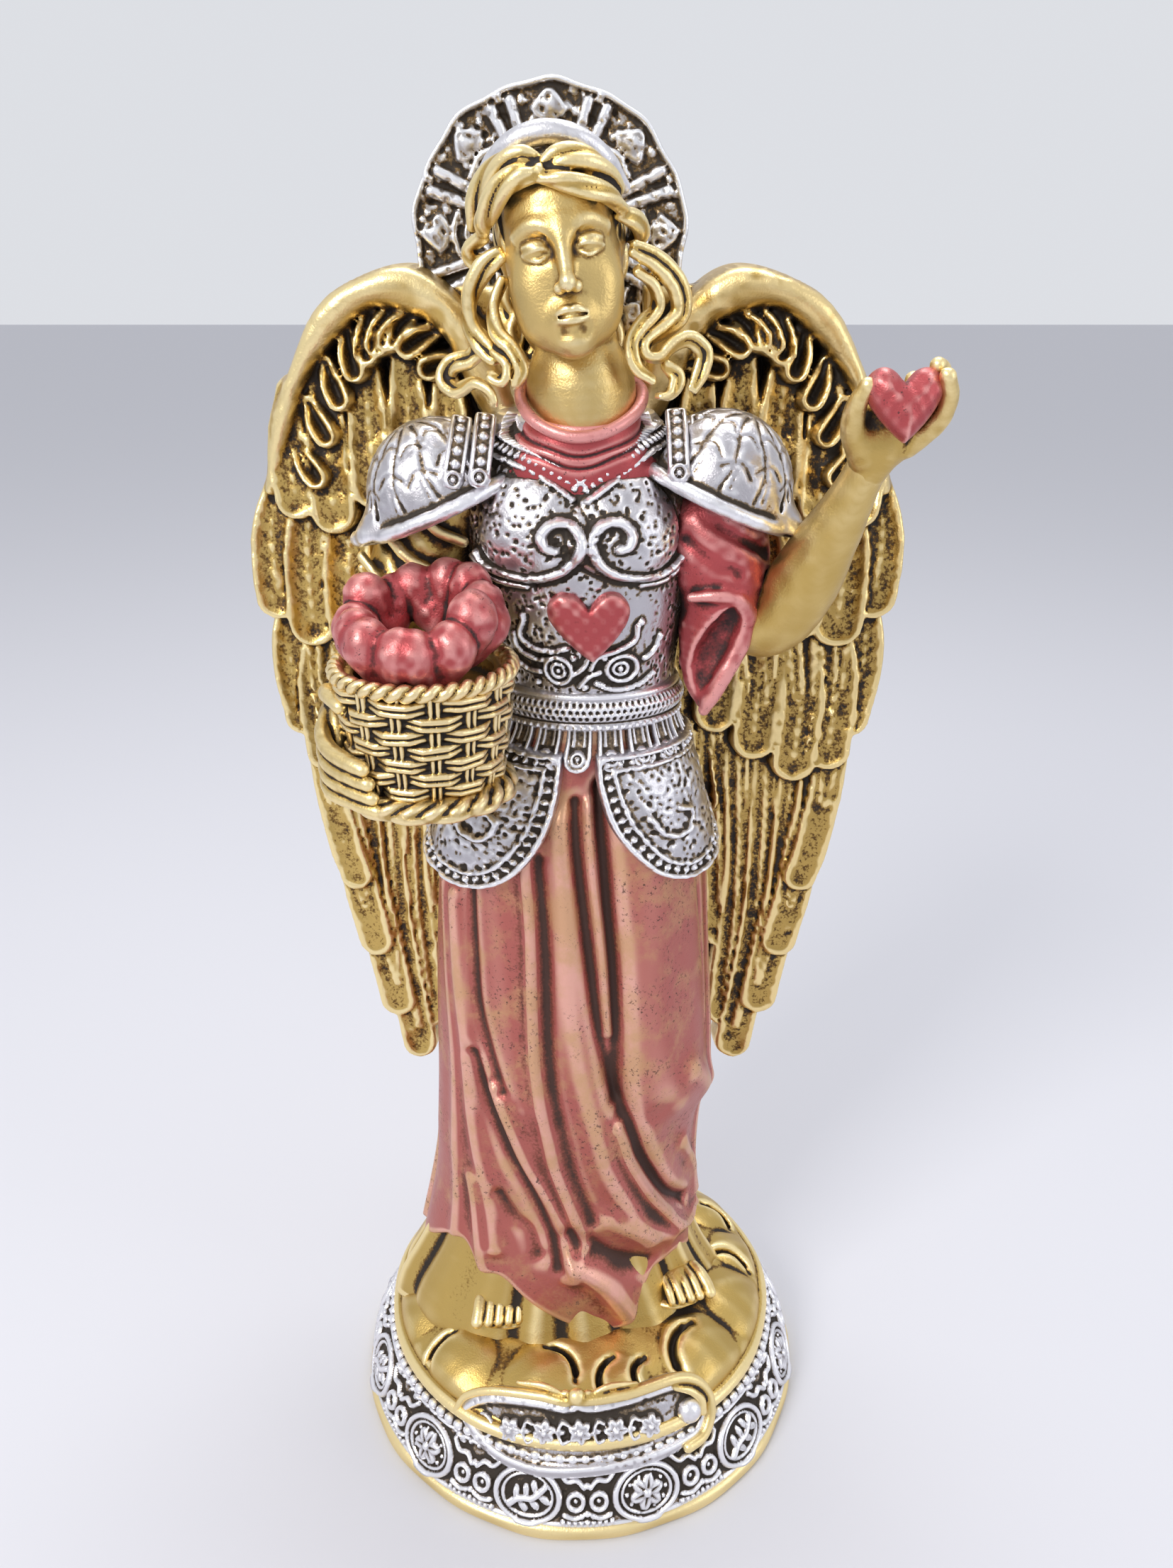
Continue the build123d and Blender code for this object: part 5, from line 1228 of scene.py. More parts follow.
def make_cuirass():
    sheet = Relief(-180 * TRUNK_ROUND, 180 * TRUNK_ROUND, 120.5, 162.0, 0.21, wrap=True)
    random = np.random.default_rng(21)
    for side in (-1, 1):
        u, v = on_trunk(0.2 + side * 6.4, 147.6)
        where, du, dv = sheet.window(u, v, 7.4)
        swell = np.clip(1 - np.hypot(du / 7.2, np.where(dv < 0, dv / 5.0, dv / 8.0)) ** 2, 0, 1)
        sheet.h[where] += 2.3 * swell ** 0.62
    body = sheet.h.copy()
    for _ in range(3600):
        z = random.uniform(124, 160)
        u = random.uniform(-180, 180) * TRUNK_ROUND
        size = random.uniform(0.22, 0.4)
        sheet.pit(u, z, size, random.uniform(0.12, 0.26))
    across, up = sheet.u[:, None], sheet.v[None, :]
    smooth_side = np.exp(-((across + 60 * TRUNK_ROUND) / 5.0) ** 2) * np.exp(-((up - 137) / 7) ** 2)
    sheet.h = sheet.h * (1 - smooth_side) + body * smooth_side
    base = sheet.h.copy()
    ornament = Relief(sheet.u[0], -sheet.u[0], 120.5, 162.0, 0.21, wrap=True)
    # the cups' rolled edges, each ending in a curl beside the middle
    ornament.stroke(trunk_line([(-12.6, 145.2), (-11.6, 143.9), (-8.6, 143.1), (-5.2, 142.9), (-2.2, 143.9),
                                (-0.2, 145.8), (0.5, 148.0),
                                (-0.6, 149.9), (-2.6, 150.2), (-3.9, 148.9), (-3.6, 147.4), (-2.6, 147.0)]), 0.62,
                                1.15)
    ornament.stroke(trunk_line([(13.4, 145.4), (12.0, 143.8), (9.8, 142.9), (7.2, 142.9), (4.4, 143.7), (2.4, 145.4),
                                (1.6, 147.8),
                                (2.6, 149.9), (4.6, 150.3), (5.9, 149.0), (5.6, 147.5), (4.7, 147.1)]), 0.62, 1.15)
    ornament.stroke(trunk_line([(-13.6, 144.4), (-10.6, 142.2), (-6.4, 141.8)]), 0.4, 0.6)
    ornament.stroke(trunk_line([(14.0, 144.6), (11.4, 142.2), (8.0, 141.9)]), 0.4, 0.6)
    # rosettes and swirls by the point of the heart
    u, v = on_trunk(-2.5, 130.4)
    for radius, height in ((1.85, 0.85), (0.95, 0.7)):
        ornament.ring(u, v, radius, 0.36, height)
    ornament.dot(u, v, 0.42, 0.8)
    u, v = on_trunk(5.7, 130.6)
    ornament.ring(u, v, 2.3, 0.4, 0.85, 0.78)
    ornament.ring(u - 0.3, v, 1.1, 0.34, 0.7, 0.78)
    ornament.dot(u - 0.3, v, 0.5, 0.85)
    for rows in ([(-6.9, 137.2), (-7.4, 135.2), (-6.2, 133.6), (-3.6, 133.0), (-1.4, 133.6)],
                 [(-8.2, 135.0), (-7.6, 133.0), (-5.4, 131.8), (-3.4, 132.0)],
                 [(-8.6, 131.8), (-6.6, 130.2), (-4.8, 130.0)],
                 [(7.6, 136.4), (7.2, 134.4), (5.0, 133.2), (2.6, 132.4), (1.6, 130.6)],
                 [(10.6, 134.6), (9.8, 132.6), (8.6, 131.6)],
                 [(9.8, 129.2), (7.6, 127.8), (4.6, 127.6), (2.4, 128.6)],
                 [(-1.0, 129.6), (0.6, 130.8), (1.4, 132.4)], [(0.2, 128.2), (1.4, 129.6), (2.8, 130.2)]):
        ornament.stroke(trunk_line(rows), 0.4, 0.8)
    for x, z in ((-7.0, 137.7), (8.1, 136.9), (0.9, 128.0), (-0.6, 132.2), (3.4, 132.2), (-5.2, 128.4)):
        ornament.dot(*on_trunk(x, z), 0.5, 0.8)
    # the neck's double beaded border
    for rows in ([(-10.4, 158.8), (-8.6, 158.0), (-5.2, 156.8), (-2.2, 155.3), (0.3, 153.4)],
                 [(10.8, 160.0), (8.8, 159.0), (6.0, 157.2), (3.2, 155.4), (0.5, 153.4)]):
        double_trim(ornament, trunk_line(rows))
    # the back: a spine, a shoulder border and two large scrolls
    ornament.stroke([(90 * TRUNK_ROUND, 128), (90 * TRUNK_ROUND, 140), (90 * TRUNK_ROUND, 152)], 0.7, 0.8)
    for side in (-1, 1):
        middle = 90 * TRUNK_ROUND
        ornament.stroke([(middle + side * 2, 129.4), (middle + side * 6, 130.6), (middle + side * 8.4, 134.4),
                         (middle + side * 6.4, 138),
                         (middle + side * 3.8, 136.6), (middle + side * 4.4, 134.4)], 0.5, 0.9)
        ornament.ring(middle + side * 6.2, 145.0, 2.2, 0.4, 0.8)
        ornament.dot(middle + side * 6.2, 145.0, 0.8, 0.8)
        double_trim(ornament, [(middle + side * 15, 150.6), (middle + side * 9, 152.4), (middle + side * 2, 156.0)])
    sheet.h = base + ornament.h
    # the neck opening drops back to leave the tunic proud
    neck = np.array([on_trunk(x, z) for x,
                     z in ((-10.0, 166), (-8.8, 159.4), (-5.4, 158.2), (-2.2, 156.7), (0.4, 154.9),
                                                 (3.2, 156.8), (6.0, 158.6), (9.0, 160.6), (10.6, 166))])
    inside = outline_field(neck, sheet.u, sheet.v)
    sheet.h = np.where(inside < 0, np.minimum(sheet.h, -1.6), sheet.h)
    sheet.u = sheet.u / TRUNK_ROUND
    points, quads = capped(wrapped_body(TRUNK, sheet))
    piece("cuirass_hammered", points, quads, "antique_silver", ("cuirass", "cuirass_scrolls"))


TUNIC = [(150.0, 0.0, -1.0, 12.8, 9.4), (153.0, 0.0, -0.9, 12.9, 9.9), (156.0, 0.0, -1.1, 12.2, 10.0),
         (158.5, 0.1, -1.9, 10.6, 9.4),
         (160.6, 0.3, -2.9, 9.0, 8.5), (162.6, 0.5, -3.9, 7.6, 7.3), (164.4, 0.6, -4.3, 6.8, 6.4)]


def make_tunic():
    sheet = Relief(-180 * TRUNK_ROUND, 180 * TRUNK_ROUND, 150.0, 164.4, 0.25, wrap=True)
    for rows in ([(-8.6, 161), (-5.0, 158.6), (0.2, 156.4), (5.4, 158.8), (9.0, 161.6)],
                 [(-7.4, 162.0), (-4.0, 160.2), (0.2, 158.8), (4.6, 160.2), (8.2, 162.4)]):
        sheet.stroke(trunk_line(rows, True, TUNIC), 0.5, -0.35, add=True, soft=True)
    tilt = 0.5 * (1 + np.sin(np.radians(sheet.u / TRUNK_ROUND)))[:, None]
    drop = (1 - tilt) * np.clip((sheet.v[None, :] - 156) / 8.4, 0, 1) * 3.2
    sheet.u = sheet.u / TRUNK_ROUND
    body = wrapped_body(TUNIC, sheet)
    body[..., 2] -= drop
    points, quads = capped(body)
    clay = Clay((-9, -14, 156), (10, 5, 168), 0.25)
    rows = [(0.0, -11.4, 160.1), (3.4, -10.8, 160.6), (6.4, -8.6, 162.0), (7.9, -5.4, 163.6), (7.6, -1.4, 165.0),
            (4.6, 1.6, 165.8),
            (0.6, 2.6, 166.0), (-3.6, 1.6, 165.8), (-6.4, -1.4, 165.2), (-7.0, -5.4, 163.9), (-5.6, -8.8, 162.0),
            (-2.8, -10.8, 160.6)]
    clay.rope([(*row, 0.78) for row in rows], 0.3, closed=True)
    more, faces = clay.mesh()
    piece("tunic_front", points, quads, "rose_paint", ("tunic_collar",), CRIMSON)
    piece("tunic_collar_roll", more, faces, "rose_paint", ("tunic_collar",), CRIMSON)


HEART = [(0.0, 2.7), (1.6, 4.3), (3.4, 4.5), (4.9, 3.0), (4.9, 0.9), (3.4, -1.6), (1.5, -3.7), (0.0, -5.0),
         (-1.5, -3.7),
         (-3.4, -1.6), (-4.9, 0.9), (-4.9, 3.0), (-3.4, 4.5), (-1.6, 4.3)]


def heart_slab(width, plump, depth, voxel=0.2, edge_width=1.6, both=False):
    """A heart of the given width, rounded and plump in front, and behind as well if both is set."""
    size = width / 9.9
    corner = np.array(HEART) * size
    outline = np.vstack([smooth_path(corner[:8], 8), smooth_path(np.vstack([corner[7:], corner[:1]]), 8)[1:-1]])
    sheet = Relief(-5.8 * size, 5.8 * size, -5.8 * size, 5.4 * size, voxel)
    edge = outline_field(outline, sheet.u, sheet.v)
    rise = np.clip(-edge / (edge_width * size), 0, 1)
    ripple = np.sin(sheet.u[:, None] * 3.1) * np.cos(sheet.v[None, :] * 2.7)
    sheet.h = plump * np.sqrt(1 - (1 - rise) ** 2) + 0.06 * ripple
    return slab(sheet, edge, depth, 0.6, voxel, -sheet.h if both else None)


def make_chest_heart():
    points, quads = heart_slab(10.1, 1.35, 1.4)
    u, v = on_trunk(1.5, 136.7)
    piece("heart_on_chest", wrapped(points + (u, v, 0), TRUNK, 0.35), quads, "rose_paint", ("chest_heart",), CRIMSON)


BELT = [(120.6, 1.2, 0.0, 11.6, 9.0), (122.2, 1.2, 0.0, 12.0, 9.4), (124.4, 1.2, -0.1, 12.2, 9.6),
        (127.4, 1.1, -0.2, 12.0, 9.4)]


def make_belt():
    sheet = Relief(-180 * TRUNK_ROUND, 180 * TRUNK_ROUND, 121.4, 127.2, 0.17, wrap=True)
    v = sheet.v[None, :] + 0 * sheet.u[:, None]
    sheet.h = 1.25 * dome(v - 124.6, 1.7) + 0.0
    sheet.h = np.maximum(sheet.h, 0.95 * dome(v - 122.3, 0.8))
    sheet.h = np.maximum(sheet.h, 0.7 * dome(v - 126.5, 0.55))
    random = np.random.default_rng(4)
    for k in range(88):
        for row in range(3):
            u = (-180 + 360 * (k + 0.5 * (row % 2)) / 88) * TRUNK_ROUND
            sheet.pit(u + random.uniform(-0.08, 0.08), 123.7 + 0.95 * row, 0.36, 0.42)
    for k in range(74):
        u = (-180 + 360 * k / 74) * TRUNK_ROUND
        sheet.dot(u, 122.3, 0.5, 1.25)
    sheet.u = sheet.u / TRUNK_ROUND
    piece("belt_beaded", *capped(wrapped_body(BELT, sheet)), "antique_silver", ("belt",))


TAB_BODY = [(114.5, 0.9, 0.0, 15.2, 12.2), (118.0, 1.0, 0.0, 13.8, 10.9), (121.0, 1.2, 0.0, 12.2, 9.5),
            (124.0, 1.2, 0.0, 11.6, 9.0)]


def make_tabs():
    sheet = Relief(-2.4, 2.4, -3.6, 3.6, 0.18)
    outline = np.array([(-1.95, 3.4), (-1.95, -1.2), (-1.7, -2.3), (-1.0, -3.0), (0, -3.25), (1.0, -3.0), (1.7, -2.3),
                        (1.95, -1.2), (1.95, 3.4)])
    edge = outline_field(outline, sheet.u, sheet.v)
    sheet.h = 0.55 * np.clip(1 - ((edge + 0.42) / 0.4) ** 2, 0, 1) ** 0.5
    sheet.ring(0, -1.3, 0.78, 0.3, 0.62)
    sheet.dot(0, -1.3, 0.38, 0.6)
    for side in (-1, 1):
        sheet.stroke([(side * 0.75, 0.2), (side * 0.75, 3.0)], 0.2, 0.35)
    tab, quads = slab(sheet, edge, 1.3, 0.35, 0.2)
    points, faces, count = [], [], 19
    for k in range(count):
        u = (-180 + 360 * (k + 0.5) / count) * TRUNK_ROUND
        faces.append(quads + k * len(tab))
        points.append(wrapped(tab * (0.98, 0.98, 1) + (u, 119.6, 0), TAB_BODY, 0.35))
    piece("tabs_of_the_belt", np.vstack(points), np.vstack(faces), "antique_silver", ("waist_tabs",))


HIPS = [(96.0, -1.2, 0.0, 20.4, 15.2), (102.0, -1.1, 0.0, 19.6, 14.8), (108.0, -0.8, 0.0, 17.8, 13.6),
        (114.0, 0.2, 0.0, 15.4, 11.8),
        (119.0, 0.9, 0.0, 13.0, 10.0), (123.0, 1.2, 0.0, 11.4, 8.8)]
LAPPETS = {
    "right": [(-1.9, 119.0), (-2.1, 115.6), (-3.0, 111.4), (-4.7, 107.2), (-8.2, 102.6), (-12.4, 100.0),
              (-16.8, 99.3)],
    "left": [(2.2, 119.0), (2.3, 115.6), (3.6, 110.6), (6.4, 106.0), (10.2, 102.0), (14.4, 100.0), (17.2, 100.0)],
}


def make_lappet(side):
    sign = 1 if side == "left" else -1
    inner = [on_trunk(x, z, True, HIPS) for x, z in LAPPETS[side]]
    far = -90 + sign * 112
    outer = [((-90 + sign * a) * TRUNK_ROUND, z) for a,
             z in ((78, 100.6), (92, 102.6), (104, 106.6), (110, 112.0), (112, 119.5))]
    outline = smooth_path(np.array(inner + outer), 6)
    low, high = outline.min(0) - 1.2, outline.max(0) + 1.2
    sheet = Relief(low[0], high[0], low[1], high[1], 0.2)
    edge = outline_field(outline, sheet.u, sheet.v)
    random = np.random.default_rng(31)
    sheet.h = 0.5 * np.clip(-edge / 6.0, 0, 1)
    for _ in range(1200):
        u, v = random.uniform(low[0], high[0]), random.uniform(low[1], high[1])
        sheet.pit(u, v, random.uniform(0.22, 0.4), random.uniform(0.12, 0.26))
    rim = Relief(low[0], high[0], low[1], high[1], 0.2)
    for inset, width, height in ((0.45, 0.45, 1.0), (2.2, 0.3, 0.55)):
        rim.h = np.maximum(rim.h, height * dome(edge + inset, width))
    for u, v in along_outline(outline, int(0.95 * np.linalg.norm(np.diff(outline, axis=0), axis=1).sum()), 1.35):
        rim.dot(u, v, 0.45, 0.75)
    middle = (far * 0.42 - 90 * 0.58) * TRUNK_ROUND
    rim.stroke([(middle - 3, 110), (middle - 1, 107.2), (middle + 2, 107), (middle + 3, 109.4), (middle + 1, 110.4)],
               0.4, 0.7)
    sheet.h += rim.h
    points, quads = slab(sheet, edge, 1.3, 0.5, 0.24)
    piece(f"lappet_{side}_plate", wrapped(points, HIPS, 1.15), quads, "antique_silver", (f"lappet_{side}",))


# ================================================================ shoulders
def make_pauldron(side):
    sign = 1 if side == "left" else -1
    centre = np.array((sign * 17.6 + (0.2 if side == "left" else 0.2), -3.2,
                       151.4 + (1.0 if side == "left" else 0.0)))
    radii = np.array((9.6, 8.4, 10.2))
    lean = turned((0, sign * 24, 0))
    clay = Clay(centre - (13, 11, 8), centre + (13, 11, 13), 0.26)

    def skin(a, t, lift=0.0):
        """The point at a degrees round the cap, 0 outwards and negative to the front, and t degrees above its rim."""
        a, t = math.radians(a), math.radians(t)
        p = (radii + lift) * (math.cos(t) * math.cos(a), math.cos(t) * math.sin(a), math.sin(t))
        return centre + lean @ (p * (sign, 1, 1))

    clay.blob(centre, radii, (0, sign * 24, 0))
    clay.blob(centre + lean @ np.array((sign * 8.2, -2.4, -0.2)), (3.8, 3.6, 2.6), (0, sign * 24, 0), 2.0)
    clay.slab(skin(0, -4), lean @ np.array((0, 0, -1.0)), 0.5)
    for a in (-165, -132, -100, -70, -42, -14, 16, 48, 82):
        rows = [(*skin(a + 6 * math.sin(t / 15.0), t, 0.1), 0.34) for t in (8, 24, 42, 60, 76)]
        clay.rope(rows, 0.25, carve=True)
    for a in range(-150, 80, 30):
        for t in (26, 50):
            rows = [(*skin(a - 15 + 30 * q, t + 9 * math.sin(math.pi * q) - (6 if (a // 30) % 2 else 0), 0.1), 0.3)
                    for q in (0.05, 0.35, 0.65, 0.95)]
            clay.rope(rows, 0.25, carve=True)
        clay.rope([(*skin(a, t, 0.05), 0.22) for t in (10, 18, 24)], 0.2, carve=True)
    rim = [(*skin(a, -3 + (2.5 if abs(a + 8) < 12 else 0), 0.5 + (1.9 if abs(a + 8) < 12 else 0)), 0.95)
           for a in range(-180, 180, 12)]
    clay.rope(rim, 0.5, closed=True)
    clay.grain(0.9, 0.035, 5)
    piece(f"pauldron_{side}_leafed", *clay.mesh(), "antique_silver", (f"pauldron_{side}",))


STRAPS = {"right": [((-14.6, -9.0, 158.6), -14), ((-11.5, -9.6, 159.0), -10)],
          "left": [((12.2, -9.0, 159.5), 4), ((15.4, -8.2, 158.8), 10)]}


def make_straps(side):
    sheet = Relief(-1.9, 1.9, -5.8, 5.8, 0.15)
    outline = np.array([(-1.35, 5.2), (-1.35, -3.4), (-1.5, -4.3), (-1.1, -5.2), (0, -5.5), (1.1, -5.2), (1.5, -4.3),
                        (1.35, -3.4),
                        (1.35, 5.2), (0, 5.5)])
    edge = outline_field(outline, sheet.u, sheet.v)
    sheet.h = 0.35 * np.clip(1 - ((edge + 0.3) / 0.3) ** 2, 0, 1) ** 0.5
    sheet.ring(0, -4.1, 0.85, 0.3, 0.6)
    sheet.dot(0, -4.1, 0.45, 0.75)
    for k in range(5):
        sheet.ring(0, -2.2 + 1.7 * k, 0.34, 0.22, 0.4)
        sheet.dot(0, -2.2 + 1.7 * k, 0.3, 0.5)
    strap, quads = slab(sheet, edge, 1.0, 0.35, 0.17)
    points, faces = [], []
    for k, (origin, lean) in enumerate(STRAPS[side]):
        c, s = math.cos(math.radians(lean)), math.sin(math.radians(lean))
        points.append(placed(strap, origin, (c, -s * 0.3, s * 0.8), (-s * 0.6, 0.62, 0.78), curl=1 / 9.0))
        faces.append(quads + k * len(strap))
    piece(f"straps_{side}_studded", np.vstack(points), np.vstack(faces), "antique_silver",
          (f"shoulder_straps_{side}",))


# ================================================================ arms and sleeves
def make_sleeves():
    clay = Clay((8, -13, 120), (28, 7, 157), 0.27)
    clay.blob((17.6, -2.6, 145.2), (7.2, 6.2, 8.6), (0, -14, 0))
    clay.rope([(18.2, -2.6, 148, 5.0), (19.4, -3.2, 140.5, 5.7), (18.4, -3.8, 134.0, 5.0), (17.4, -4.6, 128.6, 3.4),
               (17.2, -5.4, 124.6, 1.3)], 1.8)
    # the wide mouth of the sleeve, dark inside, with its rolled edge
    clay.rope([(20.0, -9.0, 138.0, 0.7), (19.6, -8.9, 136.0, 1.9), (18.0, -9.0, 133.0, 2.6), (16.2, -8.8, 129.6, 2.3),
               (15.8, -8.0, 126.4, 1.0)],
              0.4, carve=True)
    clay.rope([(14.6, -8.2, 139.6, 0.6), (17.6, -9.0, 140.0, 0.75), (20.6, -8.5, 139.4, 0.8),
               (22.2, -7.2, 136.8, 0.95), (21.4, -7.2, 133.0, 1.1),
               (19.6, -7.8, 129.4, 1.1), (17.8, -7.8, 126.0, 1.0), (16.9, -7.0, 123.8, 0.8)], 0.9)
    for rows in ([(13.6, -8.0, 147.0), (17.2, -9.6, 144.2), (20.4, -9.2, 143.2)],
                 [(15.6, -8.6, 150.0), (20.4, -8.4, 147.4), (24.4, -5.2, 144.6)],
                 [(24.6, -1.0, 150.0), (25.6, -1.0, 144.0), (24.6, -0.6, 138.0)],
                 [(21.6, 3.2, 149.0), (23.2, 3.0, 142.0), (21.4, 2.4, 134.0)],
                 [(16.0, 4.0, 149.0), (17.6, 3.6, 141.0), (17.2, 2.2, 132.0)],
                 [(24.4, -5.2, 141.4), (24.0, -4.8, 137.6), (22.6, -3.4, 133.4)]):
        clay.rope([(*row, 0.55) for row in rows], 1.3, carve=True)
    clay.grain(1.4, 0.06, 8)
    piece("sleeve_left_cloth", *clay.mesh(), "rose_paint", ("sleeve_left",), CRIMSON)
    clay = Clay((-34, -15, 121), (-9, 8, 157), 0.27)
    clay.rope([(-14.6, 0.2, 153.0, 5.6), (-18.6, -0.4, 147.6, 6.2), (-22.4, -0.8, 140.8, 5.7),
               (-25.6, -1.6, 134.4, 5.1), (-27.8, -4.6, 129.8, 4.5),
               (-29.6, -8.4, 127.0, 3.6)], 1.0)
    clay.rope([(-24.6, 0.8, 135.0, 3.6), (-25.6, 1.8, 129.0, 3.2), (-26.0, 1.6, 124.4, 1.8)], 1.6)
    folds = ([(-21.4, -6.8, 150.6), (-18.2, -7.2, 146.4), (-14.6, -6.8, 144.6)],
             [(-25.6, -4.6, 146.8), (-21.6, -6.9, 142.4), (-16.6, -6.6, 140.2)],
             [(-28.2, -3.6, 142.0), (-24.2, -6.9, 138.2), (-18.8, -6.2, 136.4)],
             [(-30.4, -3.6, 137.4), (-27.0, -7.2, 134.4), (-21.6, -7.4, 132.2)],
             [(-31.8, -5.0, 132.6), (-29.0, -9.0, 131.2), (-25.2, -9.6, 129.0)],
             [(-26.4, 3.6, 146.0), (-21.6, 5.2, 142.0), (-16.6, 4.8, 138.6)],
             [(-29.4, 2.4, 139.0), (-25.4, 4.4, 135.4), (-20.8, 4.0, 133.2)])
    for rows in folds:
        clay.rope([(*row, 0.85) for row in rows], 1.3, carve=True)
        clay.rope([(x, y, z + 1.9, 0.7) for x, y, z in rows], 1.0)
    clay.grain(1.4, 0.06, 9)
    piece("sleeve_right_cloth", *clay.mesh(), "antique_gold", ("sleeve_right",))


def make_left_arm():
    clay = Clay((11, -19, 124), (42, 6, 163), 0.3)
    clay.rope([(17.6, -0.6, 146.0, 3.4), (20.4, -1.8, 139.4, 4.1), (23.6, -3.2, 135.0, 4.4), (26.6, -4.6, 136.4, 4.7),
               (28.8, -6.6, 141.0, 4.6),
               (30.9, -9.0, 146.4, 4.0), (32.8, -11.4, 151.6, 3.1), (34.2, -13.0, 155.8, 2.5),
               (35.2, -13.9, 159.2, 2.6)], 0.6, 14)
    clay.blob((29.7, -6.2, 141.0), (3.4, 4.0, 6.8), (20, 22, 0), 1.8)
    clay.grain(2.2, 0.05, 4)
    piece("forearm_left_bare", *clay.mesh(), "antique_gold", ("forearm_left",))
    clay = Clay((27, -25, 152), (47, -7, 175), 0.22)
    clay.rope([(34.5, -13.3, 156.4, 2.4), (35.6, -14.1, 159.4, 2.8)], 0.8)
    clay.blob((36.4, -14.6, 161.8), (4.4, 2.3, 4.3), (12, 6, 0), 1.4)
    clay.blob((33.4, -15.2, 160.4), (2.0, 2.0, 2.8), (0, -14, 0), 1.2)
    clay.rope([(33.6, -14.8, 158.6, 1.8), (31.9, -16.4, 161.6, 1.5), (31.7, -18.0, 164.4, 1.2),
               (32.6, -19.0, 166.8, 0.95)], 0.7)
    fingers = ([(38.6, -14.8, 159.6, 1.5), (41.1, -16.6, 162.2, 1.3), (42.0, -18.4, 165.2, 1.1),
                (41.2, -19.8, 167.9, 0.95)],
               [(39.2, -14.0, 162.4, 1.4), (41.4, -15.0, 165.8, 1.2), (41.4, -16.6, 168.0, 1.05),
                (40.4, -18.2, 168.9, 0.9)],
               [(37.6, -13.4, 162.4, 1.35), (38.8, -13.8, 165.4, 1.15), (38.6, -15.2, 167.0, 1.0)],
               [(35.4, -13.4, 162.4, 1.35), (35.6, -13.8, 164.6, 1.15), (35.6, -15.4, 166.0, 1.0)])
    for rows in fingers:
        clay.rope(rows, 0.35)
    clay.grain(1.2, 0.04, 6)
    piece("hand_left_open", *clay.mesh(), "antique_gold", ("hand_left",))
    points, quads = heart_slab(8.9, 2.5, 0, 0.2, 3.6, both=True)
    piece("heart_in_hand", placed(points, (36.9, -18.9, 164.8), (1, 0.06, 0.0), (0, 0.36, 0.93)), quads, "rose_paint",
          ("hand_heart",), CRIMSON)


def make_right_hand():
    clay = Clay((-38, -30, 112), (-20, -2, 134), 0.25)
    clay.rope([(-29.8, -8.6, 126.8, 3.2), (-31.0, -12.0, 124.6, 2.9)], 0.8)
    clay.blob((-31.0, -14.0, 123.2), (2.0, 4.6, 4.4), (0, 0, 8), 1.2)
    for k, drop in enumerate((0, 2.15, 4.2, 6.1)):
        girth = 1.12 - 0.06 * k
        clay.rope([(-31.8, -13.2, 126.0 - drop, girth + 0.15), (-32.2, -17.4, 125.0 - drop, girth),
                   (-31.0, -21.2, 124.0 - drop * 0.98, girth),
                   (-28.2 + 0.3 * k, -24.2, 123.4 - drop * 0.95, girth * 0.95),
                   (-26.0 + 0.5 * k, -25.9, 123.1 - drop * 0.93, girth * 0.85)], 0.22)
    clay.rope([(-31.0, -11.4, 126.8, 1.6), (-31.6, -15.0, 129.0, 1.3), (-30.8, -18.6, 130.0, 1.15),
               (-29.0, -21.4, 129.4, 0.95)], 0.4)
    clay.grain(1.2, 0.04, 7)
    piece("hand_right_holding", *clay.mesh(), "antique_gold", ("hand_right",))


# ================================================================ basket
BASKET = (-19.2, -16.5)


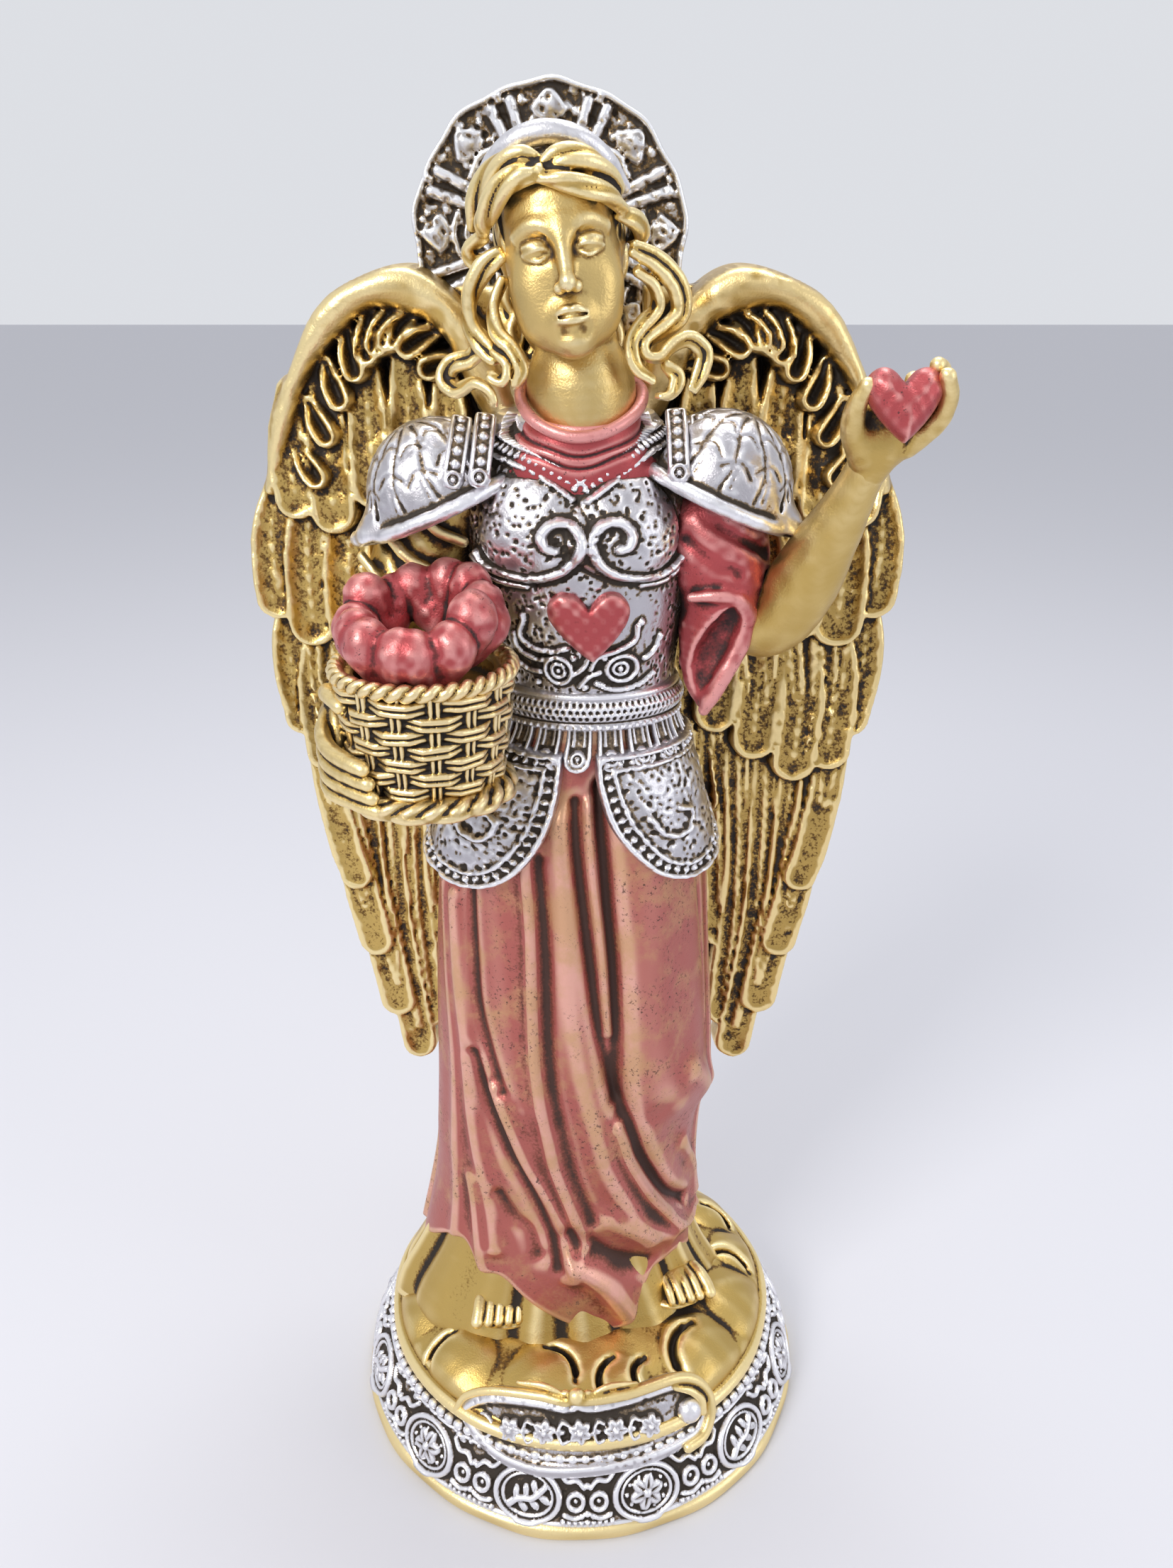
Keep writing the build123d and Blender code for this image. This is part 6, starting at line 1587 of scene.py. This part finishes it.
def make_basket():
    per = 10.4 * math.pi / 180
    sheet = Relief(-180 * per, 180 * per, 0, 15.4, 0.17, wrap=True)
    u, v = sheet.u[:, None], sheet.v[None, :]
    stakes, rows = 14, 7
    pitch = 360 * per / stakes
    row_height = 13.6 / rows
    random = np.random.default_rng(12)
    h = np.full_like(sheet.h, -1.25)
    for side in (-0.42, 0.42):
        near = (u - side + pitch / 2) % pitch - pitch / 2
        h = np.maximum(h, -0.45 + 0.75 * dome(near, 0.36) + 0 * v)
    for r in range(rows):
        wave = np.cos(math.pi * (u / pitch + r))
        over = np.clip(0.25 + 0.75 * wave, -0.8, 0.62) + random.uniform(-0.05, 0.05)
        for side in (-0.46, 0.46):
            middle = 0.9 + row_height * (r + 0.5) + side + 0.16 * np.sin(u * 0.45 + 2.1 * r)
            rod = dome(v - middle, 0.44)
            h = np.where(rod > 0, np.maximum(h, over + 0.5 * rod - 0.35), h)
    sheet.h = h
    sheet.u = sheet.u / per
    profile = [(8.9, 117.9), (9.5, 121.5), (10.1, 126.0), (10.5, 130.0), (10.7, 133.0)]
    points, quads = ring_of(profile, sheet, 1.9)
    points[:, :2] += BASKET
    piece("basket_weave", points, quads, "antique_gold", ("basket",), BASKET_GOLD)
    x, y = BASKET
    clay = Clay((x - 13.4, y - 13.4, 115.2), (x + 13.4, y + 13.4, 136.0), 0.25)
    turn = np.linspace(0, 2 * math.pi, 73)[:-1]
    for start in (0, math.pi):
        twist = 18 * turn + start
        rim = 10.9 + 0.55 * np.cos(twist)
        clay.rope(np.stack([x + rim * np.cos(turn), y + rim * np.sin(turn), 133.2 + 0.6 * np.sin(twist),
                            0.62 + 0 * turn], 1), 0.15, 4, closed=True)
        twist = 11 * turn + start
        foot = 9.9 + 0.8 * np.cos(twist)
        clay.rope(np.stack([x + foot * np.cos(turn), y + foot * np.sin(turn), 117.6 + 0.5 * np.sin(twist),
                            0.72 + 0 * turn], 1), 0.25, 4, closed=True)
    scallop = 10.3 + 0.7 * np.abs(np.sin(6.5 * turn))
    clay.rope(np.stack([x + scallop * np.cos(turn), y + scallop * np.sin(turn), 116.9 + 0 * turn, 0.6 + 0 * turn], 1),
              0.3, 4, closed=True)
    clay.blob((x, y, 118.4), (9.8, 9.8, 1.5), blend=0.4)
    clay.blob((x, y, 129.6), (9.7, 9.7, 1.6), blend=0.4)
    piece("basket_rims", *clay.mesh(), "antique_gold", ("basket",), BASKET_GOLD)


HEARTS = [(-165, 7.4, 136.8, 4.5, 6), (-118, 7.6, 136.2, 4.5, -8), (-72, 7.7, 136.2, 4.4, 10),
          (-22, 7.2, 138.4, 4.7, -22),
          (30, 6.9, 139.8, 4.4, 18), (84, 6.6, 140.4, 4.3, -10), (140, 7.0, 139.2, 4.4, 12)]


def make_basket_hearts():
    x, y = BASKET
    low, high = (x - 14.2, y - 14.2, 128.0), (x + 14.2, y + 14.2, 148.0)
    heap = Clay(low, high, 0.27)
    for angle, radius, z, size, spin in HEARTS:
        a = math.radians(angle)
        out = np.array((math.cos(a), math.sin(a), 0.0))
        round_ = np.array((-math.sin(a), math.cos(a), 0.0))
        lean = out * 0.35 + np.array((0, 0, 0.94))
        s = math.radians(spin)
        across = round_ * math.cos(s) + lean * math.sin(s)
        up = lean * math.cos(s) - round_ * math.sin(s)
        c = np.array((x, y, z)) + out * radius
        one = Clay(low, high, 0.27)
        for side in (-1, 1):
            lobe = c + across * side * size * 0.52 + up * size * 0.3
            one.blob(lobe, (size * 0.66, size * 0.62, size * 0.74), (0, 0, angle + 90), 0.9)
            tip = c - up * size * 1.05 - out * 0.6
            one.rope([(*lobe, size * 0.58), (*(c + across * side * size * 0.25 - up * size * 0.4), size * 0.5),
                      (*tip, size * 0.2)], 1.0)
        notch = c + up * size * 1.15 + out * 0.4
        one.rope([(*(notch - out * 3), 0.3), (*notch, 0.5), (*(notch + out * 2.6 - up * 0.8), 0.4)], 0.9, carve=True)
        heap.d = merge_low(heap.d, one.d, 0.25)
    heap.grain(1.1, 0.06, 14)
    piece("hearts_in_basket", *heap.mesh(), "rose_paint", ("basket_hearts",), CRIMSON)


# ================================================================ head
HEAD_AT = np.array((-1.7, -6.4, 180.1))
HEAD_TURN = (-7, -7.7, 2)


def on_head(p):
    """A point of the head's own frame, origin between the eyes' height and the ears, in the figure's frame."""
    return HEAD_AT + turned(HEAD_TURN) @ np.array(p, float)


def make_head():
    clay = Clay((-9, -12.5, -12.5), (9, 11.5, 12.5), 0.19)
    clay.blob((0, 1.6, 2.2), (7.3, 8.8, 8.6))
    clay.blob((0, -1.9, -1.8), (6.9, 6.6, 8.0), blend=2.0)
    clay.blob((0, -3.4, 4.6), (6.2, 4.9, 4.6), blend=2.2)
    clay.blob((0, -4.9, -7.9), (4.3, 3.4, 3.0), blend=2.8)
    for side in (-1, 1):
        clay.blob((side * 3.5, -4.1, -6.2), (2.8, 3.0, 3.0), blend=1.8)
    clay.blob((0, -6.3, -9.6), (1.9, 1.7, 1.5), blend=1.8)
    for side in (-1, 1):
        clay.blob((side * 3.9, -4.6, -3.4), (2.7, 2.7, 2.9), blend=1.8)
        clay.blob((side * 3.05, -9.1, 0.2), (2.1, 1.6, 1.45), (0, side * 4, side * 10), 1.1, carve=True)
        clay.blob((side * 1.5, -8.9, -0.2), (0.8, 0.9, 1.2), blend=0.9, carve=True)
        clay.rope([(side * 0.9, -8.2, 1.3, 0.4), (side * 1.9, -8.3, 2.1, 0.45), (side * 3.6, -7.7, 2.4, 0.45),
                   (side * 5.4, -6.2, 1.7, 0.4)], 1.8)
        clay.blob((side * 3.1, -6.75, -0.15), (1.75, 1.5, 1.15), blend=0.3)
        clay.blob((side * 3.1, -6.8, 0.42), (1.9, 1.62, 0.86), blend=0.12)
        clay.rope([(side * 1.5, -7.75, -0.3, 0.16), (side * 2.3, -8.2, 0.0, 0.24), (side * 3.2, -8.3, 0.05, 0.26),
                   (side * 4.2, -7.75, -0.1, 0.22),
                   (side * 4.95, -7.0, -0.3, 0.16)], 0.25)
        clay.rope([(side * 1.7, -7.8, -0.6, 0.2), (side * 3.1, -8.1, -1.15, 0.27), (side * 4.7, -7.1, -0.5, 0.2)],
                  0.2)
        clay.rope([(side * 1.9, -8.3, 1.05, 0.2), (side * 3.2, -8.5, 1.45, 0.2), (side * 4.7, -7.5, 0.95, 0.2)], 0.25,
                  carve=True)
    clay.rope([(0, -8.0, 2.4, 0.7), (0, -8.6, 0.4, 0.7), (0, -9.3, -1.8, 0.78), (0, -9.9, -3.6, 0.82)], 1.5)
    clay.blob((0, -9.9, -3.9), (0.85, 0.85, 0.75), blend=0.8)
    for side in (-1, 1):
        clay.blob((side * 1.05, -9.1, -4.2), (0.65, 0.9, 0.62), (0, side * -15, side * 15), 0.45)
        clay.blob((side * 0.6, -10.0, -4.85), (0.34, 0.5, 0.34), blend=0.2, carve=True)
        clay.rope([(0, -8.95, -5.3, 0.22), (0, -9.0, -6.0, 0.2)], 0.35, carve=True)
    clay.blob((0, -7.2, -6.9), (2.4, 1.9, 1.7), blend=1.2)
    clay.rope([(-2.15, -7.9, -7.0, 0.2), (-1.2, -8.75, -6.55, 0.4), (-0.45, -9.05, -6.35, 0.42),
               (0, -9.0, -6.55, 0.4), (0.45, -9.05, -6.35, 0.42),
               (1.2, -8.75, -6.55, 0.4), (2.15, -7.9, -7.0, 0.2)], 0.3)
    clay.rope([(-1.8, -8.0, -7.35, 0.25), (-0.8, -8.75, -7.6, 0.5), (0.8, -8.75, -7.6, 0.5),
               (1.8, -8.0, -7.35, 0.25)], 0.35)
    clay.rope([(-2.3, -7.95, -7.0, 0.18), (-1.0, -9.0, -7.0, 0.2), (0, -9.3, -6.95, 0.2), (1.0, -9.0, -7.0, 0.2),
               (2.3, -7.95, -7.0, 0.18)], 0.14, carve=True)
    clay.rope([(-1.2, -8.5, -8.6, 0.2), (0, -9.0, -8.75, 0.25), (1.2, -8.5, -8.6, 0.2)], 1.4, carve=True)
    points, quads = clay.mesh()
    points = points * (0.94, 1.0, 1.04)
    piece("head_face", HEAD_AT + points @ turned(HEAD_TURN).T, quads, "antique_gold", ("head",), SKIN)
    clay = Clay((-8, -13, 153), (9, 5, 178), 0.3)
    clay.rope([(0.8, -3.0, 156.0, 5.2), (0.7, -3.9, 160.4, 6.4), (0.4, -4.0, 165.0, 6.7), (-0.1, -4.3, 168.4, 5.1),
               (-0.3, -4.1, 171.0, 4.9), (-0.6, -3.6, 175.5, 5.0)], 0.5)
    for side in (-1, 1):
        clay.rope([(0.6 + side * 0.9, -9.2, 161.0, 0.4), (0.4 + side * 2.6, -8.4, 165.4, 0.6),
                   (-0.2 + side * 4.2, -4.8, 171.0, 0.5)], 1.2)
    piece("neck", *clay.mesh(), "antique_gold", ("head",), SKIN)


# ================================================================ hair
def lock(clay, rows, strands=3, blend=0.3, twist=1.2, seed=0):
    """A lock of hair: strands laid side by side that turn slowly about one another along its path."""
    path = smooth_path(rows, 5)
    ahead = np.gradient(path[:, :3], axis=0)
    ahead = ahead / (np.linalg.norm(ahead, axis=1, keepdims=True) + 1e-9)
    side = np.cross(ahead, (0.15, -0.95, 0.25))
    side = side / (np.linalg.norm(side, axis=1, keepdims=True) + 1e-9)
    out = np.cross(side, ahead)
    run = np.linspace(0, 1, len(path))
    for k in range(strands):
        phase = 2 * math.pi * k / strands + seed + twist * run * 2
        spread = path[:, 3:4] * 0.55
        middle = path[:, :3] + side * spread * np.cos(phase)[:, None] + out * spread * 0.6 * np.sin(phase)[:, None]
        girth = path[:, 3] * (0.62 if strands > 1 else 1.0)
        clay.rope(np.column_stack([middle, girth])[::2], blend, 3)


def make_hair():
    low, high = (-17.5, -18.5, 163.5), (13, 11, 196)
    clay = Clay(low, high, 0.27)
    clay.blob(on_head((0, 1.9, 2.7)), (7.9, 9.2, 8.5), HEAD_TURN)
    clay.blob(on_head((0, 4.8, -3.6)), (6.8, 5.2, 8.8), HEAD_TURN, 2.0)
    # open the face: the hair frames it from the parting down
    clay.blob(on_head((0, -9.6, -1.6)), (6.9, 8.6, 9.6), HEAD_TURN, 0.6, carve=True)
    clay.blob(on_head((0, -8.0, -9.5)), (9.5, 9.0, 7.0), HEAD_TURN, 0.8, carve=True)
    # combed lines from the parting round to the back
    for k in range(30):
        a = math.radians(-62 + 304 * k / 29)
        line = []
        for t in (0.12, 0.32, 0.55, 0.78, 1.0):
            wave = 0.12 * math.sin(5.0 * t + 1.3 * k)
            polar = t * 1.75
            p = (7.95 * math.sin(polar) * math.cos(a + wave), 1.9 + 9.25 * math.sin(polar) * math.sin(a + wave),
                 2.7 + 8.55 * math.cos(polar))
            line.append((*on_head(p), 0.3 + 0.14 * math.sin(2 * k)))
        clay.rope(line, 0.4, 4, carve=True)
    # waves over the nape
    for k in range(9):
        x = -8.6 + 1.6 * k
        sway = 0.9 * (-1) ** k
        lock(clay,
             [(x * 0.9, 4.6, 184.0, 1.0), (x + sway, 5.8, 179.5, 1.3), (x - sway, 5.6, 175.0, 1.3),
              (x * 1.05 + sway, 4.8, 170.6, 1.2),
                    (x * 1.05 - sway, 4.0, 166.8, 0.7)], 2, 0.3, 2.0, k)
    front = (
        [(-4.2, -13.0, 189.2, 0.9), (-6.3, -12.9, 189.8, 1.4), (-9.0, -10.9, 188.5, 1.55), (-11.0, -8.4, 185.9, 1.45),
         (-11.9, -6.4, 183.2, 1.0)],
        [(-4.3, -14.1, 188.2, 0.7), (-6.4, -14.2, 188.0, 1.25), (-8.8, -12.7, 186.3, 1.35),
         (-10.4, -10.6, 183.9, 1.15),
         (-10.6, -9.4, 182.4, 0.7)],
        [(-3.8, -13.2, 188.9, 0.9), (-1.7, -13.4, 189.9, 1.35), (1.2, -12.5, 189.5, 1.55), (3.4, -10.9, 188.1, 1.3),
         (4.6, -9.6, 186.6, 0.9)],
        [(-3.9, -14.3, 187.9, 0.7), (-1.3, -14.6, 187.7, 1.1), (1.6, -13.6, 186.9, 1.15), (3.8, -11.9, 186.1, 1.0),
         (5.3, -9.8, 184.9, 0.7)],
    )
    for k, rows in enumerate(front):
        lock(clay, rows, 3, 0.2, 1.6, k)
    clay.blob((-4.1, -14.2, 188.5), (0.7, 0.7, 0.85), blend=0.3)
    # the flat lock drawn back beside each temple
    lock(clay, [(4.8, -9.6, 184.6, 0.8), (6.6, -7.8, 183.8, 1.1), (7.3, -5.8, 182.4, 1.1), (6.4, -5.4, 181.2, 0.7)],
         3, 0.3, 1.0, 2)
    lock(clay,
         [(-10.8, -8.6, 182.0, 0.9), (-12.6, -6.8, 180.8, 1.1), (-12.0, -6.4, 179.4, 1.0), (-10.0, -7.4, 179.6, 0.7)],
         2, 0.35, 1.0, 1)
    piece("hair_waves", *clay.mesh(), "antique_gold", ("hair",), HAIR_GOLD)


CURLS = {
    "right": [
        [(-8.9, -8.8, 180.2, 0.9), (-10.9, -8.4, 178.6, 1.25), (-12.6, -7.6, 175.6, 1.35), (-12.6, -7.4, 172.4, 1.3),
         (-11.0, -8.4, 170.0, 1.15),
         (-9.4, -9.6, 168.6, 0.8)],
        [(-8.6, -8.6, 177.4, 0.8), (-9.8, -8.8, 174.6, 1.0), (-9.4, -9.4, 171.8, 1.0), (-7.6, -10.2, 170.0, 0.8),
         (-6.6, -10.6, 167.6, 0.8),
         (-7.6, -10.4, 165.6, 0.6)],
        [(-11.4, -6.8, 171.4, 1.0), (-12.6, -6.6, 168.8, 1.1), (-15.2, -5.4, 167.9, 1.1), (-16.2, -5.4, 166.0, 1.05),
         (-14.6, -7.0, 165.0, 1.0),
         (-12.4, -8.4, 166.0, 0.95), (-10.6, -9.6, 165.2, 0.9), (-9.8, -10.2, 163.6, 0.6)],
        [(-9.6, -9.2, 169.8, 0.8), (-8.2, -10.2, 168.4, 0.85), (-8.8, -10.4, 166.4, 0.85), (-10.6, -9.8, 167.2, 0.6)],
    ],
    "left": [
        [(6.6, -8.4, 180.8, 0.9), (9.4, -7.4, 179.4, 1.2), (11.8, -6.4, 176.8, 1.35), (12.3, -6.2, 173.8, 1.3),
         (10.2, -7.4, 171.9, 1.15),
         (8.1, -8.6, 170.6, 1.0), (8.3, -9.0, 169.2, 0.9), (9.9, -8.6, 169.0, 0.9), (11.4, -8.0, 170.3, 0.95),
         (13.4, -7.2, 170.9, 1.0),
         (15.2, -6.6, 169.4, 1.0), (14.9, -7.0, 167.2, 0.95), (13.9, -8.0, 165.2, 0.6)],
        [(7.0, -8.6, 178.4, 0.8), (9.0, -8.0, 176.8, 1.0), (9.4, -7.6, 174.4, 1.0), (7.6, -8.6, 172.6, 0.9),
         (6.4, -9.4, 170.6, 0.8),
         (7.0, -9.8, 168.0, 0.8), (9.0, -9.4, 166.4, 0.7)],
        [(10.6, -7.8, 168.0, 0.8), (12.0, -8.0, 166.6, 0.9), (11.2, -8.8, 164.8, 0.8), (9.6, -9.6, 164.6, 0.6)],
    ],
}


def make_curls(side):
    low, high = ((-19, -13, 161.5), (-4.5, -2, 183)) if side == "right" else ((4.5, -13, 162.0), (18, -2, 184))
    clay = Clay(low, high, 0.24)
    for k, rows in enumerate(CURLS[side]):
        lock(clay, rows, 2, 0.25, 1.6, k)
        clay.rope([(x, y + 0.5, z, r * 0.6) for x, y, z, r in rows], 0.4)
    clay.grain(0.9, 0.03, 3)
    piece(f"curls_{side}", *clay.mesh(), "antique_gold", (f"hair_curls_{side}",), HAIR_GOLD)


def make_hair_band():
    clay = Clay((-15, -11, 183), (10, 6, 197), 0.25)
    rows = [(-11.4, -2.6, 186.4, 0.8), (-10.0, -5.4, 189.2, 1.2), (-7.2, -8.3, 191.6, 1.35), (-3.6, -8.8, 192.7, 1.4),
            (0.0, -8.4, 192.1, 1.35),
            (3.0, -6.9, 190.2, 1.25), (5.4, -3.8, 187.4, 0.8)]
    clay.rope(rows, 0.5, 8)
    clay.rope([(x, y + 2.2, z + 0.2, r * 0.95) for x, y, z, r in rows], 1.2, 8)
    clay.grain(1.2, 0.04, 2)
    piece("band_in_hair", *clay.mesh(), "antique_silver", ("hair_band",))


# ================================================================ halo
def make_halo():
    size = 17.4
    sheet = Relief(-18.4, 18.4, -18.4, 18.4, 0.2)
    x, y = sheet.u[:, None], sheet.v[None, :]
    r = np.hypot(x, y)
    angle = np.degrees(np.arctan2(y, x))
    edge = r - size - 0.18 * np.sin(np.radians(angle * 9)) - 0.12 * np.sin(np.radians(angle * 17 + 40))
    sheet.h = -0.4 + (r / size) ** 2
    random = np.random.default_rng(17)
    relief = Relief(-18.4, 18.4, -18.4, 18.4, 0.2)
    for k in range(8):
        axis = 90 + 45 * k
        c, s = math.cos(math.radians(axis)), math.sin(math.radians(axis))
        relief.dot(14.6 * c, 14.6 * s, 1.5, 1.0)
        relief.stroke([(14.0 * c - 1.9 * s, 14.0 * s + 1.9 * c), (15.9 * c, 15.9 * s),
                       (14.0 * c + 1.9 * s, 14.0 * s - 1.9 * c)], 0.5, 0.8)
        for turn in (-65, 65):
            relief.petal(13.0 * c, 13.0 * s, axis + turn, 2.4, 0.7, 0.8, 0.3)
        for distance, half in ((11.6, 2.3), (9.9, 2.0), (8.2, 1.5)):
            tips = [(distance * c - side * half * s, distance * s + side * half * c) for side in (-1, 1)]
            relief.stroke([tips[0], ((distance + 0.7) * c, (distance + 0.7) * s), tips[1]], 0.5, 0.85)
        for side in (-1, 1):
            lean = math.radians(axis + 22.5 + side * 4.6)
            line = [(q * math.cos(lean), q * math.sin(lean)) for q in (7.0, 10.0, 13.2, 15.6)]
            relief.stroke(line, 0.8, 1.1)
        gap = math.radians(axis + 22.5)
        relief.dot(16.2 * math.cos(gap), 16.2 * math.sin(gap), 0.6, 0.7)
    relief.h += 0.8 * dome(-edge - 0.35, 0.5)
    for _ in range(420):
        a, q = random.uniform(0, 2 * math.pi), random.uniform(6.5, 16.6)
        relief.dot(q * math.cos(a), q * math.sin(a), random.uniform(0.2, 0.75), random.uniform(0.2, 0.65))
    for _ in range(500):
        a, q = random.uniform(0, 2 * math.pi), random.uniform(6.0, 16.8)
        relief.pit(q * math.cos(a), q * math.sin(a), random.uniform(0.2, 0.45), 0.3)
    sheet.h += relief.h
    back = np.full_like(sheet.h, -1.5) - 0.5 * dome(-edge - 0.5, 0.7)
    for k in range(16):
        lean = math.radians(11.25 + 22.5 * k)
        ridge = Relief(-18.4, 18.4, -18.4, 18.4, 0.2)
        ridge.stroke([(q * math.cos(lean), q * math.sin(lean)) for q in (3.0, 9.0, 15.6)], 0.5, 0.45)
        back -= ridge.h
    points, quads = slab(sheet, edge, 0, 0.5, 0.25, back)
    piece("halo_dish", placed(points, (-3.5, 8.6, 182.5), (1, 0, 0), (0, 0.03, 1)), quads, "antique_silver",
          ("halo",), HALO_SILVER)


# ================================================================ all together
make_robe()
for wing_side in ("right", "left"):
    make_wing(wing_side)
make_plinth()
make_band()
make_mound()
make_cartouche()
make_foot("right", -12.6, -15.0, 24.0, -6, 1)
make_foot("left", 17.2, -10.5, 24.2, 28, -1)
make_underskirt()
make_cuirass()
make_tunic()
make_chest_heart()
make_belt()
make_tabs()
for body_side in ("right", "left"):
    make_lappet(body_side)
    make_pauldron(body_side)
    make_straps(body_side)
make_sleeves()
make_left_arm()
make_right_hand()
make_basket()
make_basket_hearts()
make_head()
make_hair()
for body_side in ("right", "left"):
    make_curls(body_side)
make_hair_band()
make_halo()
shade_crevices()

# ================================================================ studio
bpy.ops.mesh.primitive_plane_add(size=6.0)
floor = bpy.context.object
floor.name = "studio_floor"
pale = bpy.data.materials.new("pale floor")
pale.use_nodes = True
pale.node_tree.nodes["Principled BSDF"].inputs["Base Color"].default_value = (0.62, 0.62, 0.66, 1)
pale.node_tree.nodes["Principled BSDF"].inputs["Roughness"].default_value = 0.8
floor.data.materials.append(pale)

world = bpy.data.worlds.new("studio")
bpy.context.scene.world = world
world.use_nodes = True
world.node_tree.nodes["Background"].inputs["Color"].default_value = (0.93, 0.95, 1.0, 1)
world.node_tree.nodes["Background"].inputs["Strength"].default_value = 0.78


def lamp(name, place, target, size, power, colour):
    data = bpy.data.lights.new(name, "AREA")
    data.shape = "RECTANGLE"
    data.size, data.size_y = size
    data.energy = power
    data.color = colour
    body = bpy.data.objects.new(name, data)
    bpy.context.scene.collection.objects.link(body)
    body.location = place
    aim = Vector(target) - Vector(place)
    body.rotation_euler = aim.to_track_quat("-Z", "Y").to_euler()


lamp("key", (-0.35, -0.45, 0.55), (0, 0, 0.1), (0.26, 0.26), 3.0, (1.0, 0.98, 0.95))
lamp("fill", (0.55, -0.25, 0.30), (0, 0, 0.1), (0.30, 0.40), 0.6, (0.95, 0.97, 1.0))
lamp("top", (0.05, 0.15, 0.60), (0, 0, 0.1), (0.35, 0.25), 1.2, (1.0, 1.0, 1.0))

camera = bpy.data.objects.new("camera", bpy.data.cameras.new("camera"))
bpy.context.scene.collection.objects.link(camera)
camera.data.lens = 28.48
camera.data.sensor_width = 36.0
camera.location = (0.0011, -0.1640, 0.1815)
camera.rotation_euler = (math.radians(66.4), 0, 0)
bpy.context.scene.camera = camera
bpy.context.scene.view_settings.view_transform = "Standard"
